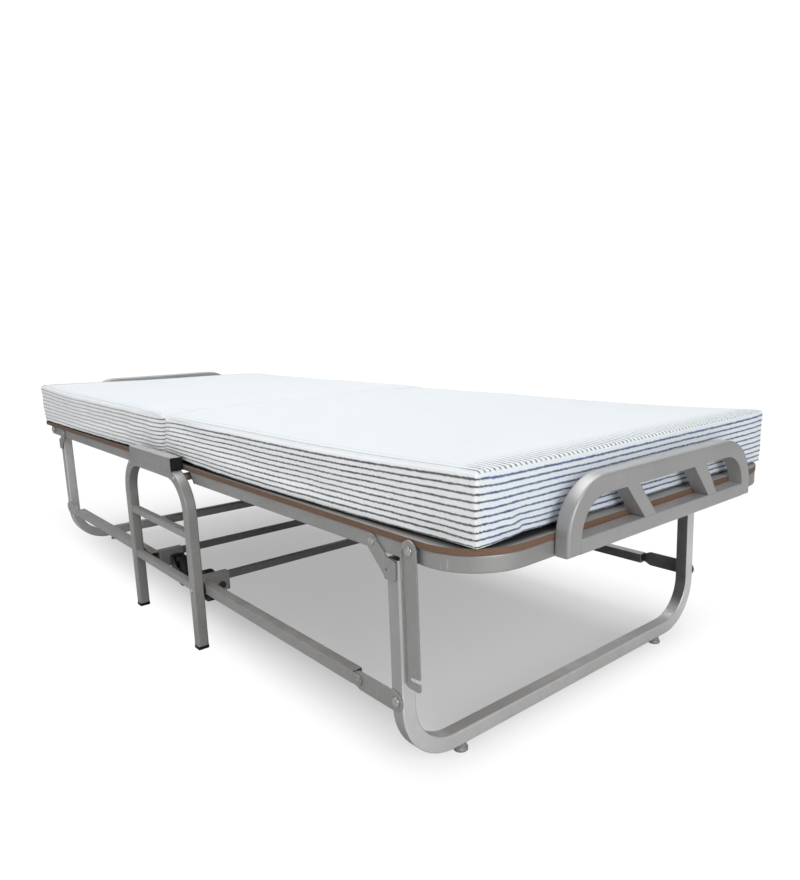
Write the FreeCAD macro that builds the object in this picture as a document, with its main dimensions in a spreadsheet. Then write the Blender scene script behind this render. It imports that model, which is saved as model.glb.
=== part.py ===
import FreeCAD, Part
import math
import os
import Sketcher

# Fold-away bed on a central stand, standing open with its mattress.
# Millimetres, +Z up, +X towards the foot half, origin on the floor under the middle.
# foot = the +X half, head = the -X half, front = the -Y side, back = the +Y side.
# Pieces are modelled on the front of the foot half and mirrored to the other places.

doc = FreeCAD.newDocument("rollaway_bed")
sheet = doc.addObject("Spreadsheet::Sheet", "Params")

# alias, value, what it is
DIMENSIONS = [
    # stand
    ("stand_leg_x", 166.0, "stand leg centre from the middle, along the bed"),
    ("stand_tube", 22.0, "stand tube side"),
    ("stand_outer", 418.0, "outer face of the stand arches from the middle"),
    ("stand_bend", 80.0, "shoulder bend radius on the tube centreline"),
    ("arch_top", 361.4, "centre height of the arch's top tube"),
    ("wall", 1.5, "tube wall"),
    ("tube_round", 3.0, "outer corner radius of the stand and leg tubes"),
    ("cap_height", 7.0, "height of the stand foot caps' flange"),
    ("cap_side", 23.0, "side of the foot cap flange"),
    ("plug_side", 17.8, "side of the foot cap plug"),
    ("plug_depth", 18.0, "depth of the foot cap plug"),
    ("bar_size", 15.0, "side of the rungs and cross bars"),
    ("bar_wall", 1.2, "wall of the rungs and cross bars"),
    ("upper_rung_z", 239.5, "centre height of the upper rungs and the cross tube"),
    ("lower_rung_z", 131.0, "centre height of the lower rungs"),
    # guard over each arch
    ("guard_half", 117.5, "half length of the guard channel"),
    ("guard_inner", 393.6, "inner face of the guard channel from the middle"),
    ("guard_outer", 419.2, "outer face of the guard channel from the middle"),
    ("guard_low", 367.0, "bottom of the guard channel"),
    ("guard_high", 394.5, "top of the guard channel"),
    ("guard_wall", 1.0, "wall of the guard channel"),
    ("guard_cap", 2.5, "flange thickness of the guard end caps"),
    # pivots
    ("pivot_x", 126.0, "deck pivot from the middle, along the bed"),
    ("pivot_z", 354.5, "height of the deck and leg pivots"),
    ("link_z", 126.0, "link pivot height"),
    ("leg_x", 802.0, "U-leg centre from the middle, along the bed"),
    ("leg_pivot_x", 762.0, "leg pivot from the middle, along the bed"),
    ("pin_r", 4.0, "pivot rivet shank radius"),
    ("turn_gap", 0.06, "radial gap between a shaft and a hole that turns on it"),
    ("sleeve_r", 8.0, "outer radius of the deck pivot sleeves"),
    ("washer_r", 15.0, "radius of the link pivot washers"),
    # deck
    ("rail_outer", 390.0, "outer face of the deck rail from the middle"),
    ("rail_tube", 24.0, "deck rail tube side"),
    ("rail_z", 355.0, "deck rail centre height"),
    ("deck_end", 967.0, "end face of the deck frame from the middle"),
    ("deck_corner", 78.5, "deck frame corner bend radius on the centreline"),
    ("rail_start", 136.0, "where the rail tube begins before its slanted cut"),
    ("slant_top", 141.0, "rail end at the top of its slanted cut"),
    ("slant_low", 160.5, "rail end at the bottom of its slanted cut"),
    ("board_half", 393.0, "half width of the board"),
    ("board_end", 967.2, "board end from the middle"),
    ("board_gap", 4.0, "board edge at the fold, from the middle"),
    ("foot_corner", 92.0, "corner radius of the board at the foot end"),
    ("head_corner", 34.0, "corner radius of the board at the head end"),
    ("board_thick", 9.5, "board thickness"),
    ("cross_a_x", 262.0, "first deck cross member from the middle"),
    ("cross_b_x", 620.0, "second deck cross member from the middle"),
    ("arm_thick", 4.0, "hinge arm thickness"),
    ("arm_end", 240.0, "hinge arm end from the middle"),
    ("arm_r", 12.0, "hinge arm radius round the deck pivot"),
    # end rail
    ("end_in", 967.5, "end rail inner face from the middle"),
    ("end_thick", 25.0, "end rail thickness"),
    ("end_half", 246.5, "half width of the end rail"),
    ("end_low", 345.0, "bottom of the end rail"),
    ("foot_shoulder", 365.0, "height where the foot end rail's shoulders begin"),
    ("head_shoulder", 409.0, "height where the head end rail's shoulders begin"),
    ("end_outer_r", 82.0, "outer shoulder radius of the end rail"),
    ("end_inner_r", 55.0, "inner shoulder radius of the end rail"),
    ("end_bar", 22.0, "height of the end rail's bottom bar"),
    # U-leg
    ("leg_tube", 25.0, "leg tube side"),
    ("leg_outer", 388.5, "outer face of the U-leg from the middle"),
    ("leg_top", 336.0, "top of the U-leg tube"),
    ("leg_bend", 86.0, "U-leg bend radius on the centreline"),
    ("leg_bar_z", 27.5, "centre height of the U-leg's bottom bar"),
    ("glide_y", 269.0, "glide from the middle, across the bed"),
    ("glide_r", 9.0, "glide stem radius"),
    ("glide_base_r", 11.5, "glide base radius"),
    ("plate_in", 390.2, "inner face of the leg hinge plate from the middle"),
    ("plate_thick", 2.5, "leg hinge plate thickness"),
    # link
    ("rod_outer", 394.5, "outer face of the link rods from the middle"),
    ("rod_tube", 20.0, "link rod tube side"),
    ("rod_start", 116.5, "inner end of the link rods from the middle"),
    ("rod_end", 698.0, "end of the link rod's full section from the middle"),
    ("tongue_x", 712.0, "centre of the rod tongue's round end"),
    ("tongue_thick", 3.1, "thickness of the rod tongue"),
    ("end_plate_in", 388.8, "inner face of the link end plate from the middle"),
    ("end_plate_thick", 2.5, "link end plate thickness"),
    ("end_plate_half", 15.0, "half width of the link end plate"),
    ("link_bar_x", 124.0, "link cross bar from the middle"),
    # casters
    ("caster_y", 339.0, "caster swivel axis from the middle, across the bed"),
    ("caster_z", 110.0, "caster swivel axis height with the bed open"),
    ("trail", 18.0, "caster trail"),
    ("wheel_x", 67.5, "caster wheel centre from the middle with the bed open"),
    ("wheel_r", 35.0, "caster wheel radius"),
    ("wheel_width", 22.0, "caster wheel width"),
    ("axle_r", 3.5, "caster axle radius"),
    ("stem_r", 5.0, "caster stem radius"),
    # latch strap
    ("strap_x", 850.0, "latch strap pivot from the middle"),
    ("strap_z", 360.0, "latch strap pivot height"),
    ("strap_in", 394.8, "inner face of the latch strap from the middle"),
    ("strap_thick", 2.5, "latch strap thickness"),
    ("strap_half", 15.0, "half width of the latch strap"),
    ("strap_low", 165.0, "bottom end of the latch strap"),
    # mattress
    ("mat_half", 374.0, "half width of the mattress"),
    ("mat_end", 962.0, "mattress end from the middle"),
    ("mat_low", 377.0, "underside of the mattress"),
    ("mat_high", 479.0, "top of the mattress"),
    ("mat_relief", 124.5, "radius of the mattress relief round the deck pivot"),
    ("mat_inner", 3.55, "lower inner edge of a mattress half from the middle"),
]

FIT = 0.1  # small gap between neighbouring parts
CLEAR = 0.2  # larger gap between neighbouring parts
OVERCUT = 1  # how far a hole's tool stands out of the part at each end


# ---------------------------------------------------------------- dimensions
def value(number):
    return number.value if isinstance(number, Dimension) else float(number)


def expression(number):
    if isinstance(number, Dimension):
        return number.expression
    return "%.6g" % number if number >= 0 else "(%.6g)" % number


def combine(left, sign, right):
    a, b = value(left), value(right)
    if sign == "/":
        result = a / b
    else:
        result = {"+": a + b, "-": a - b, "*": a * b}[sign]
    return Dimension(result, "(%s %s %s)" % (expression(left), sign, expression(right)))


class Dimension:
    """A number together with the sheet expression it comes from."""

    def __init__(self, number, text):
        self.value, self.expression = float(number), text

    def __add__(self, other):
        return combine(self, "+", other)

    def __radd__(self, other):
        return combine(other, "+", self)

    def __sub__(self, other):
        return combine(self, "-", other)

    def __rsub__(self, other):
        return combine(other, "-", self)

    def __mul__(self, other):
        return combine(self, "*", other)

    def __rmul__(self, other):
        return combine(other, "*", self)

    def __truediv__(self, other):
        return combine(self, "/", other)

    def __neg__(self):
        return combine(-1, "*", self)


class Dimensions:
    """Holds every sheet dimension as an attribute named after its alias."""


dim = Dimensions()
for row, (alias, size, words) in enumerate(DIMENSIONS, 1):
    sheet.set("A%d" % row, words)
    sheet.set("B%d" % row, str(size))
    sheet.setAlias("B%d" % row, alias)
    setattr(dim, alias, Dimension(size, "Params." + alias))
doc.recompute()


def bind(obj, prop, number):
    if isinstance(number, Dimension):
        obj.setExpression(prop, number.expression)


def same(a, b):
    return abs(value(a) - value(b)) < 1e-3


# ---------------------------------------------------------------- sketches and bodies
made_count = [0]


def fresh(stem):
    made_count[0] += 1
    return "%s_%03d" % (stem, made_count[0])


def add(kind, stem, label=None):
    obj = doc.addObject(kind, fresh(stem))
    if label:
        obj.Label = label
    return obj


def new_body(label=None):
    return add("PartDesign::Body", "Body", label)


def new_sketch(body, role, offset=0):
    """Sketch axes: X, Y on XY_Plane; X, Z on XZ_Plane, facing -Y; Y, Z on YZ_Plane."""
    sketch = body.newObject("Sketcher::SketchObject", fresh("Sketch"))
    plane = [o for o in body.Origin.OriginFeatures if o.Role == role][0]
    sketch.AttachmentSupport = [(plane, "")]
    sketch.MapMode = "FlatFace"
    sketch.AttachmentOffset = FreeCAD.Placement(
        FreeCAD.Vector(0, 0, value(offset)), FreeCAD.Rotation()
    )
    bind(sketch, "AttachmentOffset.Base.z", offset)
    return sketch


def constrain(sketch, *terms):
    """Adds a constraint whose last term is a size, bound to the sheet."""
    index = sketch.addConstraint(Sketcher.Constraint(*terms[:-1], value(terms[-1])))
    bind(sketch, "Constraints[%d]" % index, terms[-1])


def fix(sketch, geometry, point, x, y):
    """Holds a sketch point at x, y from the sketch's origin."""
    for kind, distance, axis in (("DistanceX", x, -2), ("DistanceY", y, -1)):
        if abs(value(distance)) < 1e-9:
            sketch.addConstraint(Sketcher.Constraint("PointOnObject", geometry, point, axis))
        else:
            constrain(sketch, kind, -1, 1, geometry, point, distance)


LEFT, RIGHT = 1, -1  # the side of its path on which an arc has its centre


def arc_between(x0, y0, x1, y1, radius, side):
    dx, dy = x1 - x0, y1 - y0
    chord = math.hypot(dx, dy)
    rise = math.sqrt(max(radius * radius - chord * chord / 4, 0.0))
    cx = (x0 + x1) / 2 - side * dy / chord * rise
    cy = (y0 + y1) / 2 + side * dx / chord * rise
    start, end = math.atan2(y0 - cy, x0 - cx), math.atan2(y1 - cy, x1 - cx)
    if side == RIGHT:
        start, end = end, start
    while end <= start:
        end += 2 * math.pi
    whole = Part.Circle(FreeCAD.Vector(cx, cy, 0), FreeCAD.Vector(0, 0, 1), radius)
    return Part.ArcOfCircle(whole, start, end)


def draw(sketch, points, closed=True):
    """Joins points: (x, y) is reached by a line, (x, y, radius, side) by an arc.

    A closed outline returns to its first point by a line.
    """
    stops = points + points[:1] if closed else points
    made = []
    for here, there in zip(stops, stops[1:]):
        x0, y0, x1, y1 = [value(n) for n in here[:2] + there[:2]]
        radius, first, last = None, 1, 2
        if len(there) == 2:
            curve = Part.LineSegment(FreeCAD.Vector(x0, y0, 0), FreeCAD.Vector(x1, y1, 0))
        else:
            radius, side = there[2:]
            curve = arc_between(x0, y0, x1, y1, value(radius), side)
            # arcs always run anticlockwise, so one that turns right is met at its end
            if side == RIGHT:
                first, last = 2, 1
        made.append((sketch.addGeometry(curve, False), first, last, here[:2], radius))
    for i, (geometry, first, last, start, radius) in enumerate(made):
        if i + 1 < len(made) or closed:
            follower = made[(i + 1) % len(made)]
            sketch.addConstraint(
                Sketcher.Constraint("Coincident", geometry, last, follower[0], follower[1])
            )
        else:
            fix(sketch, geometry, last, *stops[-1][:2])
        fix(sketch, geometry, first, *start)
        if radius is not None:
            constrain(sketch, "Radius", geometry, radius)


def rectangle(sketch, x0, y0, x1, y1, radii):
    """Corners are rounded by one radius, or by four in the order x0y0, x1y0, x1y1, x0y1."""
    if not isinstance(radii, list):
        radii = [radii] * 4
    # corner, direction back along the outline, direction on along it
    corners = [
        (x0, y0, 0, 1, 1, 0),
        (x1, y0, -1, 0, 0, 1),
        (x1, y1, 0, -1, -1, 0),
        (x0, y1, 1, 0, 0, -1),
    ]
    points = []
    for (x, y, back_x, back_y, on_x, on_y), radius in zip(corners, radii):
        if value(radius) > 0:
            points.append((x + back_x * radius, y + back_y * radius))
            points.append((x + on_x * radius, y + on_y * radius, radius, LEFT))
        else:
            points.append((x, y))
    draw(sketch, points)


def pad(body, sketch, length):
    feature = body.newObject("PartDesign::Pad", fresh("Pad"))
    feature.Profile = sketch
    feature.Length = value(length)
    bind(feature, "Length", length)
    body.Tip = feature


def prism(label, role, offset, length, points):
    """A closed outline padded along its plane's normal."""
    body = new_body(label)
    sketch = new_sketch(body, role, offset)
    draw(sketch, points)
    pad(body, sketch, length)
    return body


def block(label, role, offset, length, x0, y0, x1, y1, radii):
    """A rectangle with rounded corners, padded along its plane's normal."""
    body = new_body(label)
    sketch = new_sketch(body, role, offset)
    rectangle(sketch, x0, y0, x1, y1, radii)
    pad(body, sketch, length)
    return body


def fillet(body, keep, radius):
    """Rounds the edges of the body's last feature whose bounding box passes keep."""
    doc.recompute()
    base = body.Tip
    edges = enumerate(base.Shape.Edges, 1)
    names = ["Edge%d" % i for i, edge in edges if keep(edge.BoundBox)]
    feature = body.newObject("PartDesign::Fillet", fresh("Fillet"))
    feature.Base = (base, names)
    feature.Radius = value(radius)
    bind(feature, "Radius", radius)
    body.Tip = feature


def tube_section(sketch, centre, side, wall, outer_round, inner_round):
    x, y = centre
    for half, radius in ((side / 2, outer_round), (side / 2 - wall, inner_round)):
        rectangle(sketch, x - half, y - half, x + half, y + half, radius)


def straight_tube(role, offset, length, centre, side, wall, label=None):
    body = new_body(label)
    sketch = new_sketch(body, role, offset)
    tube_section(sketch, centre, side, wall, outer_round=1.5, inner_round=0.5)
    pad(body, sketch, length)
    return body


def tube_across(half_length, x, z, side, wall, label=None):
    """A square tube across the bed, padded from the back to the front."""
    return straight_tube("XZ_Plane", -half_length, 2 * half_length, (x, z), side, wall, label)


def swept_tube(label, path_plane, path, section_plane, centre, side, outer_round, inner_round):
    """A bent square tube. Each plane is a role and an offset."""
    body = new_body(label)
    spine = new_sketch(body, *path_plane)
    draw(spine, path, closed=False)
    section = new_sketch(body, *section_plane)
    tube_section(section, centre, side, dim.wall, outer_round, inner_round)
    feature = body.newObject("PartDesign::AdditivePipe", fresh("Pipe"))
    feature.Profile = section
    feature.Spine = (spine, [])
    body.Tip = feature
    return body


# ---------------------------------------------------------------- primitives and booleans
def place(obj, rotation, x, y, z):
    obj.Placement = FreeCAD.Placement(FreeCAD.Vector(value(x), value(y), value(z)), rotation)
    for axis, number in zip("xyz", (x, y, z)):
        bind(obj, "Placement.Base." + axis, number)


def box(x_range, y_range, z_range):
    obj = add("Part::Box", "Box")
    ranges = (x_range, y_range, z_range)
    for prop, (low, high) in zip(("Length", "Width", "Height"), ranges):
        setattr(obj, prop, value(high) - value(low))
        bind(obj, prop, high - low)
    place(obj, FreeCAD.Rotation(), *[low for low, high in ranges])
    return obj


TURN = {
    "z": FreeCAD.Rotation(),
    "x": FreeCAD.Rotation(FreeCAD.Vector(0, 1, 0), 90),
    "y": FreeCAD.Rotation(FreeCAD.Vector(1, 0, 0), -90),
}


def cylinder(axis, x, y, z, radius, length):
    """A cylinder from x, y, z along +axis."""
    obj = add("Part::Cylinder", "Cylinder")
    obj.Radius, obj.Height = value(radius), value(length)
    bind(obj, "Radius", radius)
    bind(obj, "Height", length)
    place(obj, TURN[axis], x, y, z)
    return obj


def hole_across(x, y, z, radius, thickness):
    """The tool for a hole through a part that runs from y over its thickness towards +Y."""
    return cylinder("y", x, y - OVERCUT, z, radius, thickness + 2 * OVERCUT)


def fuse(parts, label=None):
    obj = add("Part::MultiFuse", "Fuse", label)
    obj.Shapes = parts
    return obj


def cut(base, tools, label=None):
    obj = add("Part::Cut", "Cut", label)
    obj.Base = base
    obj.Tool = tools[0] if len(tools) == 1 else fuse(tools)
    return obj


def group(parts):
    obj = add("Part::Compound", "Group")
    obj.Links = parts
    return obj


def mirror(part, axis, at=0):
    """The mirror image in the plane across an axis at a given place."""
    unit = {"x": FreeCAD.Vector(1, 0, 0), "y": FreeCAD.Vector(0, 1, 0)}[axis]
    obj = add("Part::Mirroring", "Mirror")
    obj.Source = part
    obj.Normal = unit
    obj.Base = unit * value(at)
    bind(obj, "Base." + axis, at)
    return obj


def pair(part):
    """A front piece and its mirror image at the back, as two separate solids."""
    return group([part, mirror(part, "y")])


def four(part):
    """A piece at all four corners of the bed."""
    head = mirror(part, "x")
    return group([part, head, mirror(part, "y"), mirror(head, "y")])


# ---------------------------------------------------------------- shared places
# Names with y are distances from the middle across the bed; the front side lies at -y.
arch_y = dim.stand_outer - dim.stand_tube / 2
arch_inner_y = dim.stand_outer - dim.stand_tube
pin_hole_r = dim.pin_r + dim.turn_gap
bar_half = dim.bar_size / 2
rail_half = dim.rail_tube / 2
rail_y = dim.rail_outer - rail_half
rail_inner_y = dim.rail_outer - dim.rail_tube
arm_inner_y = rail_inner_y - dim.arm_thick
rail_low = dim.rail_z - rail_half
rail_high = dim.rail_z + rail_half
sill = dim.end_low + dim.end_bar
end_post_y = dim.end_half - (dim.end_outer_r - dim.end_inner_r)
leg_half = dim.leg_tube / 2
plate_outer_y = dim.plate_in + dim.plate_thick
rod_half = dim.rod_tube / 2
rod_inner_y = dim.rod_outer - dim.rod_tube
end_plate_outer_y = dim.end_plate_in + dim.end_plate_thick
bracket_wall = 3
bracket_near_x = dim.link_bar_x - bar_half - bracket_wall
bracket_far_x = dim.link_bar_x + bar_half + bracket_wall
strap_outer_y = dim.strap_in + dim.strap_thick


# ---------------------------------------------------------------- stand
def stand_arch(name, side):
    """An upside-down U of tube: side is -1 at the front and 1 at the back."""
    leg, top, bend, foot = dim.stand_leg_x, dim.arch_top, dim.stand_bend, dim.cap_height
    y = side * arch_y
    path = [
        (-leg, foot),
        (-leg, top - bend),
        (-leg + bend, top, bend, RIGHT),
        (leg - bend, top),
        (leg, top - bend, bend, RIGHT),
        (leg, foot),
    ]
    body = swept_tube(
        name + "_tube", ("XZ_Plane", -y), path, ("XY_Plane", foot), (-leg, y),
        dim.stand_tube, dim.tube_round, dim.tube_round - dim.wall,
    )
    face = y - dim.stand_tube / 2
    holes = []
    for end in (1, -1):
        for x, z in ((dim.pivot_x, dim.pivot_z), (leg, dim.link_z)):
            holes.append(hole_across(end * x, face, z, dim.pin_r, dim.stand_tube))
    return cut(body, holes)


def stand_rungs():
    span = dim.stand_leg_x - dim.stand_tube / 2
    rungs = []
    for label, z in (("rung_upperrung", dim.upper_rung_z), ("rung_lowerrung", dim.lower_rung_z)):
        rung = straight_tube(
            "YZ_Plane", -span, 2 * span, (-arch_y, z), dim.bar_size, dim.bar_wall, label
        )
        rungs += [rung, mirror(rung, "y")]
    return group(rungs)


def stand_cross_tube():
    return tube_across(arch_y - bar_half, 0, dim.upper_rung_z, dim.bar_size, dim.bar_wall)


GUARD_ROUND = 3.0  # outer radius of the guard's top corners


def guard_channels():
    """Upside-down channels over the arches' top tubes."""
    outer, inner = -dim.guard_outer, -dim.guard_inner
    low, high, wall = dim.guard_low, dim.guard_high, dim.guard_wall
    bend, inner_bend = GUARD_ROUND, GUARD_ROUND - wall
    outline = [
        (outer, low),
        (outer + wall, low),
        (outer + wall, high - bend),
        (outer + bend, high - wall, inner_bend, RIGHT),
        (inner - bend, high - wall),
        (inner - wall, high - bend, inner_bend, RIGHT),
        (inner - wall, low),
        (inner, low),
        (inner, high - bend),
        (inner - bend, high, bend, LEFT),
        (outer + bend, high),
        (outer, high - bend, bend, LEFT),
    ]
    half = dim.guard_half
    return pair(prism("guard_channel", "YZ_Plane", -half, 2 * half, outline))


def guard_end_caps():
    outer, inner, end = -dim.guard_outer, -dim.guard_inner, dim.guard_half
    lift, low_round, edge_round = 0.8, 1.5, 1.0
    plug_depth, overlap, side_play = 14, 0.5, 0.3
    plug_lift, plug_drop = 6, 2.6
    face = end + dim.guard_cap
    flange = block(
        "guard_cap", "YZ_Plane", end, dim.guard_cap,
        outer, dim.guard_low + lift, inner, dim.guard_high,
        [low_round, low_round, GUARD_ROUND, GUARD_ROUND],
    )
    fillet(flange, lambda b: same(b.XMin, face) and same(b.XMax, face), edge_round)
    inset = dim.guard_wall + side_play
    plug = box(
        (end - plug_depth, end + overlap),
        (outer + inset, inner - inset),
        (dim.guard_low + plug_lift, dim.guard_high - dim.guard_wall - plug_drop),
    )
    return four(fuse([flange, plug], "guard_cap_whole"))


def stand_foot_caps():
    x, y, top = dim.stand_leg_x, -arch_y, dim.cap_height
    corner_round, floor_round, overlap = 3.0, 1.2, 0.5
    half = dim.cap_side / 2
    flange = block(
        "foot_cap", "XY_Plane", 0, top, x - half, y - half, x + half, y + half, corner_round
    )
    fillet(flange, lambda b: same(b.ZMax, 0), floor_round)
    half = dim.plug_side / 2
    plug = box(
        (x - half, x + half), (y - half, y + half), (top - overlap, top + dim.plug_depth)
    )
    return four(fuse([flange, plug], "foot_cap_whole"))


# ---------------------------------------------------------------- pivot hardware
def rivet(x, z, inner_y, outer_y, inner_head_r, outer_head_r, dome_height=2.2):
    """A front rivet along Y: shank from -outer_y to -inner_y, domed head on the outside."""
    inner_head_height = 2.0
    shank = cylinder("y", x, -outer_y, z, dim.pin_r, outer_y - inner_y)
    head_face = -outer_y - dome_height
    head = cylinder("y", x, head_face, z, outer_head_r, dome_height)
    dome = add("Part::Fillet", "Dome")
    dome.Base = head
    doc.recompute()
    radius = min(dome_height * 0.8, outer_head_r * 0.5)
    dome.Edges = [
        (i, radius, radius)
        for i, edge in enumerate(head.Shape.Edges, 1)
        if same(edge.BoundBox.YMax, head_face) and same(edge.BoundBox.YMin, edge.BoundBox.YMax)
    ]
    inner_head = cylinder("y", x, -inner_y, z, inner_head_r, inner_head_height)
    return fuse([shank, dome, inner_head], "rivet")


def ring(label, x, z, inner_y, outer_y, radius):
    """A ring that turns on a front rivet, from -outer_y to -inner_y."""
    length = outer_y - inner_y
    return cut(
        cylinder("y", x, -outer_y, z, radius, length),
        [hole_across(x, -outer_y, z, pin_hole_r, length)],
        label,
    )


def deck_pivot_rivets():
    return four(
        rivet(
            dim.pivot_x, dim.pivot_z, arm_inner_y - CLEAR, dim.stand_outer,
            inner_head_r=8.0, outer_head_r=5.5,
        )
    )


def deck_pivot_sleeves():
    inner, outer = rail_inner_y + CLEAR, arch_inner_y - FIT
    return four(ring("sleeve", dim.pivot_x, dim.pivot_z, inner, outer, dim.sleeve_r))


def link_pivot_rivets():
    return four(
        rivet(
            dim.stand_leg_x, dim.link_z, rod_inner_y - CLEAR, dim.stand_outer,
            inner_head_r=7.0, outer_head_r=5.5,
        )
    )


def link_pivot_washers():
    inner, outer = dim.rod_outer + FIT, arch_inner_y - FIT
    return four(ring("washer", dim.stand_leg_x, dim.link_z, inner, outer, dim.washer_r))


# ---------------------------------------------------------------- deck halves
def deck_frame():
    """A U of tube lying flat, its rails cut on a slant at their inner ends."""
    start, bend = dim.rail_start, dim.deck_corner
    end = dim.deck_end - rail_half
    path = [
        (start, -rail_y),
        (end - bend, -rail_y),
        (end, -rail_y + bend, bend, LEFT),
        (end, rail_y - bend),
        (end - bend, rail_y, bend, LEFT),
        (start, rail_y),
    ]
    body = swept_tube(
        "deck_frame_tube", ("XY_Plane", dim.rail_z), path, ("YZ_Plane", start),
        (-rail_y, dim.rail_z), dim.rail_tube, outer_round=2.5, inner_round=1.0,
    )
    wedge_half, wedge_back, margin = 450, 5, 1
    wedge = prism("slant_wedge", "XZ_Plane", -wedge_half, 2 * wedge_half, [
        (start - wedge_back, rail_low - margin),
        (dim.slant_low + margin, rail_low - margin),
        (dim.slant_top - margin, rail_high + margin),
        (start - wedge_back, rail_high + margin),
    ])
    front, back = -dim.rail_outer, dim.rail_outer - dim.wall
    holes = [
        hole_across(dim.leg_pivot_x, front, dim.pivot_z, dim.pin_r, dim.wall),
        hole_across(dim.leg_pivot_x, back, dim.pivot_z, dim.pin_r, dim.wall),
        hole_across(dim.strap_x, front, dim.strap_z, dim.pin_r, dim.wall),
    ]
    return cut(body, [wedge] + holes)


def rail_plugs():
    """Slanted plates that close the rails' inner ends."""
    near, far, trim = 3.2, 0.3, 0.2
    return pair(prism("rail_plug", "XZ_Plane", rail_inner_y, dim.rail_tube, [
        (dim.slant_low - near, rail_low + trim),
        (dim.slant_low - far, rail_low + trim),
        (dim.slant_top - far, rail_high - trim),
        (dim.slant_top - near, rail_high - trim),
    ]))


def deck_board(label, corner):
    fold_corner, edge_round = 2.0, 0.8
    body = block(
        label, "XY_Plane", rail_high, dim.board_thick,
        dim.board_gap, -dim.board_half, dim.board_end, dim.board_half,
        [fold_corner, corner, corner, fold_corner],
    )
    fillet(body, lambda b: same(b.ZMin, b.ZMax), edge_round)
    return body


def deck_cross_members():
    return group([
        tube_across(rail_inner_y, x, dim.rail_z, dim.rail_tube, dim.wall, label)
        for label, x in (("member_crossa", dim.cross_a_x), ("member_crossb", dim.cross_b_x))
    ])


def deck_hinge_arms():
    x, z, inset = dim.pivot_x, dim.pivot_z, 0.5
    arm = fuse([
        cylinder("y", x, -rail_inner_y, z, dim.arm_r, dim.arm_thick),
        box(
            (x, dim.arm_end), (-rail_inner_y, -arm_inner_y), (rail_low + inset, rail_high - inset)
        ),
    ])
    hole = hole_across(x, -rail_inner_y, z, pin_hole_r, dim.arm_thick)
    return pair(cut(arm, [hole], "hinge_arm"))


# y of each slanted slat's corners: top, foot, then foot, top on its +Y side
END_SLATS = [
    (-118, -72, -43, -88),
    (62, 107, 133, 97),
]


def end_rail_frame(label, shoulder):
    """An upside-down U with slanted slats hanging from it."""
    half, low, post = dim.end_half, dim.end_low, end_post_y
    outer_r, inner_r = dim.end_outer_r, dim.end_inner_r
    edge_round, margin = 4.0, 0.1
    top, under = shoulder + outer_r, shoulder + inner_r
    outline = [(-half, low), (-post, low), (-post, shoulder)]
    outline.append((-post + inner_r, under, inner_r, RIGHT))
    for top_a, foot_a, foot_b, top_b in END_SLATS:
        outline += [(top_a, under), (foot_a, sill), (foot_b, sill), (top_b, under)]
    outline += [
        (post - inner_r, under),
        (post, shoulder, inner_r, RIGHT),
        (post, low),
        (half, low),
        (half, shoulder),
        (half - outer_r, top, outer_r, LEFT),
        (-half + outer_r, top),
        (-half, shoulder, outer_r, LEFT),
    ]
    body = prism(label, "YZ_Plane", dim.end_in, dim.end_thick, outline)
    crest, side = value(top) - margin, value(half) - margin

    def outer_edge(b):
        outside = b.ZMax > crest or b.YMin < -side or b.YMax > side
        return same(b.XMin, b.XMax) and outside

    fillet(body, outer_edge, edge_round)
    return body


def end_rail_bar():
    half = end_post_y - 0.2
    body = block(
        "end_rail_bar_solid", "YZ_Plane", dim.end_in, dim.end_thick,
        -half, dim.end_low, half, sill, 0,
    )
    # the two long bottom edges
    fillet(body, lambda b: same(b.ZMax, dim.end_low) and b.YMax - b.YMin > 100, 3.0)
    return body


def leg_pivot_rivets():
    return pair(
        rivet(
            dim.leg_pivot_x, dim.pivot_z, dim.rail_outer - dim.wall, plate_outer_y + FIT,
            inner_head_r=5.2, outer_head_r=6.5, dome_height=1.5,
        )
    )


def mattress_half():
    """Rounded about the deck pivot at the fold, so the halves clear each other at every angle."""
    end, half = dim.mat_end, dim.mat_half
    body = prism("mattress_half_solid", "XZ_Plane", -half, 2 * half, [
        (end, dim.mat_low),
        (end, dim.mat_high),
        (dim.pivot_x, dim.mat_high),
        (dim.mat_inner, dim.mat_low, dim.mat_relief, LEFT),
    ])
    # the two upright edges at the outer end
    fillet(body, lambda b: same(b.XMin, end) and b.ZMax - b.ZMin > 50, 8.0)
    return body


# ---------------------------------------------------------------- U-legs
def leg_tube():
    y, top, bend, bar_z = dim.leg_outer - leg_half, dim.leg_top, dim.leg_bend, dim.leg_bar_z
    path = [
        (-y, top),
        (-y, bar_z + bend),
        (-y + bend, bar_z, bend, LEFT),
        (y - bend, bar_z),
        (y, bar_z + bend, bend, LEFT),
        (y, top),
    ]
    body = swept_tube(
        "leg_tube_solid", ("YZ_Plane", dim.leg_x), path, ("XY_Plane", top), (dim.leg_x, -y),
        dim.leg_tube, dim.tube_round, dim.tube_round - dim.wall,
    )
    return cut(body, [
        hole_across(dim.leg_x, face, dim.link_z, dim.pin_r, dim.wall)
        for face in (-dim.leg_outer, dim.leg_outer - dim.wall)
    ])


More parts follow.
